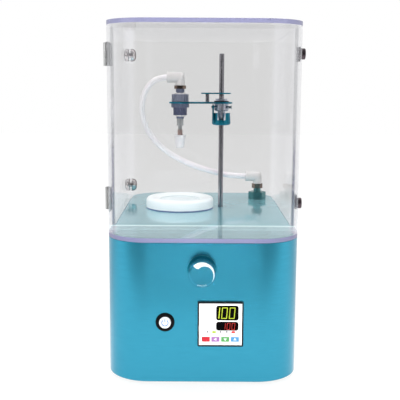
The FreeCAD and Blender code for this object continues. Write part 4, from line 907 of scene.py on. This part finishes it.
def mesh_of_tree(name: str, tree: NodeTree, values: dict[str, object], start: Mesh | None = None) -> Mesh:
    """Runs a geometry node tree on a mesh and gives the result as a plain mesh.

    Args:
        name: Name of the result.
        tree: The tree.
        values: The tree's inputs by socket identifier.
        start: The mesh the tree starts from, or none.

    Returns:
        The plain mesh.
    """
    carrier = bpy.data.objects.new(name + "_carrier", start or bpy.data.meshes.new(name + "_start"))
    modifier = carrier.modifiers.new("build", "NODES")
    modifier.node_group = tree
    for identifier, value in values.items():
        modifier[identifier] = value
    bpy.context.scene.collection.objects.link(carrier)
    graph = bpy.context.evaluated_depsgraph_get()
    mesh = bpy.data.meshes.new_from_object(carrier.evaluated_get(graph), depsgraph=graph)
    carrier.modifiers.remove(modifier)
    bpy.data.objects.remove(carrier)
    mesh.name = name
    return mesh


# Studio

@dataclass(frozen=True)
class Lamp:
    """One soft square lamp, which glossy faces show only if it is mirrored."""

    name: str
    place: Point
    aim: Point
    size: float
    watts: float
    mirrored: bool = True

    def build(self) -> None:
        """Adds the lamp to the scene."""
        data = bpy.data.lights.new(self.name, "AREA")
        data.size = self.size
        data.energy = self.watts
        lamp = bpy.data.objects.new(self.name, data)
        lamp.location = self.place
        lamp.rotation_euler = (Vector(self.aim) - Vector(self.place)).to_track_quat("-Z", "Y").to_euler()
        lamp.visible_glossy = self.mirrored
        bpy.context.scene.collection.objects.link(lamp)


@dataclass
class Studio:
    """Camera, lamps, floor and surroundings.

    Glossy faces mirror a room that is dark in front of the object, bright behind it and lit from above,
    and a floor that is darker towards the camera.
    """

    camera_place: Point = (-0.0051, -0.9179, 0.3131)
    yaw: float = -0.001922
    pitch_down: float = 0.1524
    roll: float = 0.006408
    focal_pixels: float = 740.0
    frame_pixels: float = 400.0
    sensor: float = 36.0
    nearest_seen: float = 0.01
    room_in_front: float = 0.05
    room_behind: float = 0.85
    room_above: float = 0.35
    room_glow: float = 0.15
    floor_seen: float = 0.79
    floor_mirrored_near: float = 1.0
    floor_mirrored_far: float = 0.08
    floor_mirrored_behind: float = 0.7
    room_turns: Pair = (-0.3, 0.35)
    room_rises: Pair = (0.15, 0.9)
    floor_reach: float = 4.0
    floor_thickness: float = 0.01
    floor_grey: float = 0.25
    floor_roughness: float = 0.9
    floor_specular: float = 0.1
    towards_camera: Pair = (-0.34, -0.66)
    behind_object: Pair = (-0.12, 0.16)
    lamps: tuple[Lamp, ...] = (
        Lamp("key_lamp", (-1.1, -0.9, 0.75), (0, 0, 0.2), 0.8, 5.0),
        Lamp("fill_lamp", (1.1, -0.8, 0.6), (0, 0, 0.2), 0.8, 2.5),
        Lamp("low_lamp", (0.0, -0.95, 0.15), (0, 0, 0.12), 0.2, 6.0, False),
        Lamp("top_lamp", (0.0, 0.1, 1.5), (0, 0, 0.2), 0.8, 8.0, False),
    )

    def camera(self) -> None:
        """Sets the camera where the photograph was taken from."""
        ahead = Vector((-math.sin(self.yaw), math.cos(self.yaw), 0))
        right = Vector((math.cos(self.yaw), math.sin(self.yaw), 0))
        forward = ahead * math.cos(self.pitch_down) - UP * math.sin(self.pitch_down)
        upward = ahead * math.sin(self.pitch_down) + UP * math.cos(self.pitch_down)
        tilted_right = right * math.cos(self.roll) + upward * math.sin(self.roll)
        tilted_up = upward * math.cos(self.roll) - right * math.sin(self.roll)
        data = bpy.data.cameras.new("camera")
        data.sensor_fit = "HORIZONTAL"
        data.sensor_width = self.sensor
        data.lens = self.focal_pixels / self.frame_pixels * self.sensor
        data.clip_start = self.nearest_seen
        camera = bpy.data.objects.new("camera", data)
        bpy.context.scene.collection.objects.link(camera)
        turn = Matrix((tilted_right, tilted_up, -forward)).transposed().to_4x4()
        camera.matrix_world = Matrix.Translation(self.camera_place) @ turn
        bpy.context.scene.camera = camera

    def surroundings(self) -> None:
        """Makes the even light round the object, white where it is seen or mirrored."""
        world = bpy.data.worlds.new("surroundings")
        world.use_nodes = True
        bpy.context.scene.world = world
        kit = NodeKit(world.node_tree)
        background = kit.tree.nodes["Background"]
        background.inputs["Color"].default_value = opaque(WHITE)
        path = kit.add("ShaderNodeLightPath").outputs
        straight = kit.maths("MAXIMUM", path["Is Camera Ray"], path["Is Transmission Ray"])
        way = kit.coordinates("Generated")
        behind = kit.between(kit.stepped(way[1], *self.room_turns), self.room_in_front, self.room_behind)
        above = kit.maths("MULTIPLY", kit.stepped(way[2], *self.room_rises), self.room_above)
        room = kit.maths("ADD", behind, above)
        glossy = kit.maths("MULTIPLY", room, path["Is Glossy Ray"])
        matt = kit.maths("MULTIPLY", kit.maths("ADD", room, self.room_glow), path["Is Diffuse Ray"])
        lit = kit.maths("MAXIMUM", glossy, matt)
        kit.feed(background, {"Strength": kit.between(straight, lit, 1.0)})

    def floor(self) -> None:
        """Makes a wide pale floor that stays white but keeps a soft shadow."""
        bm = bmesh.new()
        far = self.floor_reach
        prism_into(bm, [(-far, -far), (far, -far), (far, far), (-far, far)],
                   Vector((0, 0, -self.floor_thickness)), self.floor_thickness, RIGHT, BACK)
        material = bpy.data.materials.new("floor_white")
        material.use_nodes = True
        kit = NodeKit(material.node_tree)
        path = kit.add("ShaderNodeLightPath").outputs
        depth = kit.coordinates()[1]
        in_front = kit.between(kit.stepped(depth, *self.towards_camera),
                               self.floor_mirrored_near, self.floor_mirrored_far)
        glint = kit.between(kit.stepped(depth, *self.behind_object), in_front, self.floor_mirrored_behind)
        mirrored = kit.maths("MULTIPLY", path["Is Glossy Ray"], glint)
        seen = kit.maths("MULTIPLY", path["Is Camera Ray"], self.floor_seen)
        kit.feed(kit.tree.nodes["Principled BSDF"], {
            "Base Color": opaque((self.floor_grey,) * 3), "Roughness": self.floor_roughness,
            "Specular IOR Level": self.floor_specular, "Emission Color": opaque(WHITE),
            "Emission Strength": kit.maths("MAXIMUM", seen, mirrored)})
        new_object("floor", mesh_from("floor", bm), material)

    def build(self) -> None:
        """Sets up the whole studio."""
        self.camera()
        self.surroundings()
        self.floor()
        for lamp in self.lamps:
            lamp.build()
        bpy.context.scene.view_settings.view_transform = "Standard"


# Hose

@dataclass
class Hose:
    """The milky hose from the port elbow to the plug elbow."""

    diameter: float = 0.0075
    length: float = 0.271
    order: int = 3
    steps_along: int = 16
    steps_round: int = 8
    smooth_angle: float = 60.0
    route: tuple[Point, ...] = (
        (0.067, 0.113, 0.1893),
        (0.041, 0.113, 0.1893),
        (0.012, 0.101, 0.1972),
        (-0.0199, 0.090, 0.2085),
        (-0.0496, 0.078, 0.2262),
        (-0.0702, 0.066, 0.2478),
        (-0.0798, 0.055, 0.2736),
        (-0.0791, 0.046, 0.2966),
        (-0.0713, 0.0385, 0.3132),
        (-0.0568, 0.033, 0.3244),
        (-0.0394, 0.033, 0.3244),
    )

    def curve(self, thick: bool) -> Object:
        """Makes the smooth route, as a bare line or as a round tube.

        Args:
            thick: Whether it is the tube.

        Returns:
            The curve, in the scene.
        """
        data = bpy.data.curves.new("hose_route", "CURVE")
        data.dimensions = "3D"
        data.resolution_u = self.steps_along
        data.bevel_depth = self.diameter / 2 if thick else 0.0
        data.bevel_resolution = self.steps_round
        data.use_fill_caps = thick
        spline = data.splines.new("NURBS")
        spline.points.add(len(self.route) - 1)
        for point, place in zip(spline.points, self.route):
            point.co = (*place, 1.0)
        spline.order_u = self.order
        spline.use_endpoint_u = True
        route = bpy.data.objects.new("hose_route", data)
        bpy.context.scene.collection.objects.link(route)
        return route

    def mesh(self, thick: bool) -> Mesh:
        """Gives the route or the tube as a plain mesh.

        Args:
            thick: Whether it is the tube.

        Returns:
            The mesh.
        """
        route = self.curve(thick)
        graph = bpy.context.evaluated_depsgraph_get()
        mesh = bpy.data.meshes.new_from_object(route.evaluated_get(graph), depsgraph=graph)
        bpy.data.objects.remove(route)
        return mesh

    def build(self, finishes: Finishes) -> None:
        """Makes the hose as one smooth tube in place of the frame's hose.

        Args:
            finishes: All finishes of the evaporator.
        """
        line = [tuple(vert.co) for vert in self.mesh(False).vertices]
        bm = bmesh.new()
        bm.from_mesh(self.mesh(True))
        tube = mesh_from("silicone_hose", bm, self.smooth_angle)
        hose = new_object("silicone_hose", tube, finishes.hose.build())
        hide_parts("hose")
        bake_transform(hose)
        LOG.info("made the hose")


# Sub-assemblies

def ride(piece: Object, body: Body) -> None:
    """Lets a piece move with a body.

    Args:
        piece: The piece.
        body: Body that it moves with.
    """
    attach(piece, body.value)
    LOG.info("made %s on %s", piece.name, body.value)


def front_piece(name: str, shapes: Iterable[tuple[Outline, Vector]], finish: Finish, body: Body,
                thickness: float = PRINT_HEIGHT) -> None:
    """Makes one piece from flat shapes that face the front.

    Args:
        name: Name of the piece.
        shapes: Outline of each shape, and where its zero point lies on its back.
        finish: Finish of the piece.
        body: Body that it moves with.
        thickness: How far it stands out.
    """
    bm = bmesh.new()
    for outline, origin in shapes:
        prism_into(bm, outline, origin, thickness)
    ride(new_object(name, mesh_from(name, bm), finish.build()), body)


@dataclass
class BaseUnit:
    """Housing, pan, feet, deck, heated place and everything fixed to them."""

    def build(self, finishes: Finishes) -> None:
        """Dresses the fixed pieces.

        Args:
            finishes: All finishes of the evaporator.
        """
        dress(finishes.paint, "base_housing")
        dress(finishes.zinc, "base_pan", "heater_spacers", "rod_nut", "lock_nuts", "power_supply")
        dress(finishes.rubber, "rubber_feet")
        dress(finishes.deck, "deck_plate")
        dress(finishes.ring, "heater_ring")
        dress(finishes.heater_top, "heater_block")
        dress(finishes.rod, "support_rod")
        dress(finishes.port_metal, "port_body")
        dress(finishes.nickel, "port_hex", "vacuum_barb")
        dress(finishes.white_plastic, "port_elbow")
        dress(finishes.brass, "flow_valve")
        dress(finishes.black_plastic, "mains_inlet")
        dress(finishes.chrome, "inlet_blades")


@dataclass
class CoverUnit:
    """Fixed cover and hinged door."""

    screw_radius: float = 0.0021
    screw_height: float = 0.0007
    screw_steps: int = 24
    leaf_height: float = 0.025
    leaf_thickness: float = 0.0012
    screw_spread: float = 0.35

    def screw_head(self) -> Mesh:
        """Makes a low domed screw head of size 1 that looks to the left, with a hollow.

        Returns:
            The mesh.
        """
        bm = bmesh.new()
        tall = self.screw_height / self.screw_radius
        for profile in ([(0, 0), (1, 0), (0.88, tall * 0.7), (0.55, tall)],
                        [(0.55, tall), (0.5, tall * 0.35), (0, tall * 0.35)]):
            lathe_into(bm, profile, Vector(), -RIGHT, self.screw_steps)
        return mesh_from("screw_head", bm)

    def hinge_screws(self, node: str, body: Body, finishes: Finishes) -> None:
        """Puts three screws on each of a hinge side's two leaves.

        Args:
            node: Frame node of the leaves.
            body: Body that they move with.
            finishes: All finishes of the evaporator.
        """
        low, high = corners(node)
        middle_y = (low.y + high.y) / 2
        away = self.screw_spread * (high.y - low.y)
        outer = middle_y + away if body is Body.BASE else middle_y - away
        face_x = corners("cover_wall")[0].x - self.leaf_thickness
        places = [Vector((face_x, y, bottom + self.leaf_height * share))
                  for bottom in (low.z, high.z - self.leaf_height)
                  for share, y in ((0.2, outer), (0.8, outer), (0.5, middle_y))]
        screws = copies_of(f"{node}_screws", self.screw_head(), places, self.screw_radius,
                           finishes.chrome)
        ride(new_object(f"{node}_screws", screws, finishes.chrome.build()), body)

    def build(self, finishes: Finishes) -> None:
        """Dresses cover and door and adds the screws of the hinges.

        Args:
            finishes: All finishes of the evaporator.
        """
        dress(finishes.walls, "cover_wall", "door_wall")
        dress(finishes.plates, "cover_top", "door_top")
        dress(finishes.door_floor, "door_bottom")
        dress(finishes.bolt, "cover_bolts")
        dress(finishes.chrome, "hinge_pins")
        dress(finishes.hinge, "hinge_fixed_leaves", "hinge_door_leaves", "catch_strikes")
        dress(finishes.dark_metal, "catch_knobs")
        self.hinge_screws("hinge_fixed_leaves", Body.BASE, finishes)
        self.hinge_screws("hinge_door_leaves", Body.DOOR, finishes)


@dataclass
class ArmUnit:
    """Arm, clamp and plug."""

    seal_height: float = 0.0016
    seal_width: float = 0.0024
    upper_collar: float = 0.00475
    lower_collar: float = 0.0043
    seal_steps: int = 40

    def seals(self, finishes: Finishes) -> None:
        """Puts white seal rings on the upper nut and under the lower nut of the plug.

        Args:
            finishes: All finishes of the evaporator.
        """
        bm = bmesh.new()
        place = middle("plug_body")
        tall = self.seal_height
        for collar, level in ((self.upper_collar, corners("upper_nut")[1].z),
                              (self.lower_collar, corners("lower_nut")[0].z - tall)):
            wide = collar + self.seal_width
            profile = [(collar, 0), (wide, 0), (wide, tall), (collar, tall), (collar, 0)]
            lathe_into(bm, profile, Vector((place.x, place.y, level)), UP, self.seal_steps)
        rings = new_object("plug_seals", mesh_from("plug_seals", bm), finishes.white_plastic.build())
        ride(rings, Body.ARM)

    def build(self, finishes: Finishes) -> None:
        """Dresses everything that slides on the rod.

        Args:
            finishes: All finishes of the evaporator.
        """
        dress(finishes.teal_metal, "arm_plate", "guide_plate", "clamp_lever")
        dress(finishes.rod, "guide_post", "clamp_pin")
        dress(finishes.clamp, "clamp_collar", "collet", "clamp_nut")
        dress(finishes.black_plastic, "clamp_washer")
        dress(finishes.blue_grey, "plug_body", "plug_collar")
        # The upper nut takes the painted lighter copy, the lower nut the painted darker one
        dress(finishes.light_nut, "upper_nut")
        dress(finishes.dark_nut, "lower_nut")
        dress(finishes.nickel, "plug_hex")
        dress(finishes.white_plastic, "plug_elbow")
        dress(finishes.tube, "vapour_tube")
        dress(finishes.sleeve, "nozzle_sleeve")
        dress(finishes.white_cone, "plug_cone")
        self.seals(finishes)


@dataclass
class FlowKnob:
    """The flow knob with its white wedge and marks."""

    outer_share: float = 0.9
    widest_share: float = 0.46
    wedge_start: float = 135.0
    wedge_end: float = -35.0
    wedge_taper: float = 1.35
    wedge_blunt: float = 0.55
    wedge_widens: float = 6.0
    wedge_tip: float = 0.0002
    steps: int = 40
    mark_count: int = 5
    mark_share: float = 0.84
    mark_width: float = 0.0004
    mark_height: float = 0.0012
    mark_start: float = -110.0
    mark_sweep: float = 40.0

    def wedge(self, radius: float) -> list[Outline]:
        """Draws the wedge as strips between the rim and a line that nears it.

        Args:
            radius: The knob's radius.

        Returns:
            Outlines of the strips.
        """
        outer = radius * self.outer_share
        rim = arc_points(outer, self.wedge_start, self.wedge_end, self.steps)
        inner = []
        for i, (x, z) in enumerate(rim):
            share = i / self.steps
            blunt = min(1.0, self.wedge_blunt + share * self.wedge_widens)
            width = radius * self.widest_share * (1 - share) ** self.wedge_taper * blunt + self.wedge_tip
            inner.append((x * (outer - width) / outer, z * (outer - width) / outer))
        return [[inner[i], inner[i + 1], rim[i + 1], rim[i]] for i in range(self.steps)]

    def build(self, finishes: Finishes) -> None:
        """Dresses the knob and lays wedge and marks on its face.

        Args:
            finishes: All finishes of the evaporator.
        """
        dress(finishes.knob, "flow_knob")
        dress(finishes.teal_metal, "knob_ring")
        low, high = corners("flow_knob")
        radius = (high.x - low.x) / 2
        back = front_of("flow_knob", PRINT_SUNK)
        front_piece("knob_wedge", [(strip, back) for strip in self.wedge(radius)], finishes.white_print,
                    Body.KNOB)
        marks = ring_of_marks("knob_marks", self.mark_count, radius * self.mark_share,
                              (self.mark_width, 2 * PRINT_HEIGHT, self.mark_height), self.mark_start,
                              self.mark_sweep, front_of("flow_knob"), finishes.white_print)
        ride(new_object("knob_marks", marks, finishes.white_print.build()), Body.KNOB)


@dataclass
class PowerSwitch:
    """The lit push switch with the usual on-off sign."""

    symbol_radius: float = 0.0033
    line: float = 0.0009
    ring_start: float = 125.0
    ring_end: float = 415.0
    steps: int = 36
    bar_foot: float = 0.15
    bar_top: float = 1.25

    def build(self, finishes: Finishes) -> None:
        """Dresses the switch and draws the sign.

        Args:
            finishes: All finishes of the evaporator.
        """
        dress(finishes.switch_ring, "switch_bezel")
        dress(finishes.button, "switch_button")
        half = self.line / 2
        outer = arc_points(self.symbol_radius + half, self.ring_start, self.ring_end, self.steps)
        inner = arc_points(self.symbol_radius - half, self.ring_start, self.ring_end, self.steps)
        shapes = [[inner[i], outer[i], outer[i + 1], inner[i + 1]] for i in range(self.steps)]
        foot, top = self.symbol_radius * self.bar_foot, self.symbol_radius * self.bar_top
        shapes.append([(-half, foot), (half, foot), (half, top), (-half, top)])
        back = front_of("switch_button", PRINT_SUNK)
        front_piece("switch_sign", [(shape, back) for shape in shapes], finishes.symbol_blue,
                    Body.BUTTON)


@dataclass(frozen=True)
class Readout:
    """One display: its rounded screen, and the sizes and place of the number on it."""

    name: str
    level: float
    screen_height: float
    width: float
    height: float
    line: float
    pitch: float
    from_right: float
    foot: float
    text: str = "100"
    lean: float = 0.08
    inset: float = 0.3
    gap: float = 0.12

    def bars(self, figure: str) -> list[Outline]:
        """Gives the lit bars of a 0 or a 1, leaning to the right, from its lower left corner.

        Args:
            figure: The 0 or the 1.

        Returns:
            Outlines of the bars.
        """
        half = self.height / 2
        inset, gap = self.line * self.inset, self.line * self.gap
        right, top = self.width - self.line, self.height - self.line
        upright = [(right, half + gap, self.width, self.height - inset),
                   (right, inset, self.width, half - gap)]
        rest = [(inset, top, self.width - inset, self.height), (inset, 0, self.width - inset, self.line),
                (0, inset, self.line, half - gap), (0, half + gap, self.line, self.height - inset)]
        boxes = upright if figure == "1" else upright + rest
        return [[(x + z * self.lean, z) for x, z in ((left, low), (far, low), (far, high), (left, high))]
                for left, low, far, high in boxes]

    def number(self, right: float, front: float, level: float) -> list[tuple[Outline, Vector]]:
        """Gives all the bars of the number.

        Args:
            right: Right side of the screen.
            front: Front of the screen.
            level: Height of the controller's middle.

        Returns:
            Outlines with their places.
        """
        shapes = []
        for i, figure in enumerate(reversed(self.text)):
            left = right - self.from_right - self.width - self.pitch * i
            shapes += [(bar, Vector((left, front, level + self.foot))) for bar in self.bars(figure)]
        return shapes


@dataclass
class Controller:
    """The temperature controller with its displays, lamps and keys."""

    upper: Readout = Readout("upper", 0.0124, 0.0158, 0.0060, 0.0122, 0.00085, 0.0080, 0.0041, 0.0063)
    lower: Readout = Readout("lower", -0.0018, 0.0094, 0.0033, 0.0072, 0.0004, 0.0050, 0.0039, -0.0055)
    corner_radius: float = 0.0021
    corner_over: float = 0.0003
    corner_steps: int = 8
    sign_radius: float = 0.002
    lamp_pitch: float = 0.0067
    lit_radius: float = 0.0013
    lit_stretch: float = 1.7
    lit_height: float = 0.0004
    lit_steps: int = 24

    def rounding(self, width: float, height: float, centre: Vector) -> list[tuple[Outline, Vector]]:
        """Gives small shapes that round a display's corners.

        Args:
            width: Width of the display.
            height: Its height.
            centre: Middle of its front.

        Returns:
            Outlines with their places.
        """
        radius, over = self.corner_radius, self.corner_over
        arc = [(x - radius, z - radius) for x, z in reversed(arc_points(radius, 0, 90, self.corner_steps))]
        outline = [(over, over), (-radius, over), *arc, (over, -radius)]
        shapes = []
        for turn, (side, rise) in enumerate(((1, 1), (-1, 1), (-1, -1), (1, -1))):
            cosine, sine = math.cos(math.pi / 2 * turn), math.sin(math.pi / 2 * turn)
            turned = [(x * cosine - z * sine, x * sine + z * cosine) for x, z in outline]
            shapes.append((turned, centre + Vector((side * width / 2, 0, rise * height / 2))))
        return shapes

    def displays(self, finishes: Finishes) -> None:
        """Draws both numbers and rounds the corners of both displays.

        Args:
            finishes: All finishes of the evaporator.
        """
        low, high = corners("display_windows")
        front = low.y + PRINT_SUNK
        level = middle("controller_case").z
        for readout, finish in ((self.upper, finishes.digit_green), (self.lower, finishes.digit_red)):
            front_piece(f"{readout.name}_number", readout.number(high.x, front, level), finish,
                        Body.BASE)
        for readout in (self.upper, self.lower):
            centre = Vector((middle("display_windows").x, front, level + readout.level))
            front_piece(f"{readout.name}_corners",
                        self.rounding(high.x - low.x, readout.screen_height, centre), finishes.face,
                        Body.BASE)

    def lit_lamps(self, finishes: Finishes) -> None:
        """Puts lit caps on two of the lamps.

        Args:
            finishes: All finishes of the evaporator.
        """
        whole = 360 - 360 / self.lit_steps
        outline = [(x * self.lit_stretch, z)
                   for x, z in arc_points(self.lit_radius, 0, whole, self.lit_steps - 1)]
        centre = front_of("status_lamps")
        for name, steps, finish in (("lamp_cap_green", -1, finishes.lamp_green),
                                    ("lamp_cap_red", 2, finishes.lamp_red)):
            front_piece(name, [(outline, centre + RIGHT * self.lamp_pitch * steps)], finish, Body.BASE,
                        self.lit_height)

    def build(self, finishes: Finishes) -> None:
        """Dresses the controller and draws what it shows.

        Args:
            finishes: All finishes of the evaporator.
        """
        dress(finishes.black_plastic, "controller_case")
        dress(finishes.face, "controller_face")
        dress(finishes.screen, "display_windows")
        dress(finishes.lamp_off, "status_lamps")
        keys = ((Body.KEY_1, finishes.key_red, None), (Body.KEY_2, finishes.key_purple, 180.0),
                (Body.KEY_3, finishes.key_green, 270.0), (Body.KEY_4, finishes.key_blue, 90.0))
        for key, finish, points_to in keys:
            dress(finish, key.value)
            if points_to is not None:
                triangle = arc_points(self.sign_radius, points_to, points_to + 240.0, 2)
                front_piece(f"{key.value}_sign", [(triangle, front_of(key.value, PRINT_SUNK))],
                            finishes.white_print, key)
        self.displays(finishes)
        self.lit_lamps(finishes)


def main() -> None:
    """Builds everything in order."""
    logging.basicConfig(level=logging.INFO, format="%(message)s")
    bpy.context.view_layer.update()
    seam = (corners("door_wall")[1].y + corners("cover_wall")[0].y) / 2
    finishes = Finishes(seam, tuple(middle("heater_ring")))
    Studio().build()
    for unit in (Hose(), BaseUnit(), CoverUnit(), ArmUnit(), FlowKnob(), PowerSwitch(), Controller()):
        unit.build(finishes)


if __name__ == "__main__":
    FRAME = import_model()
    main()
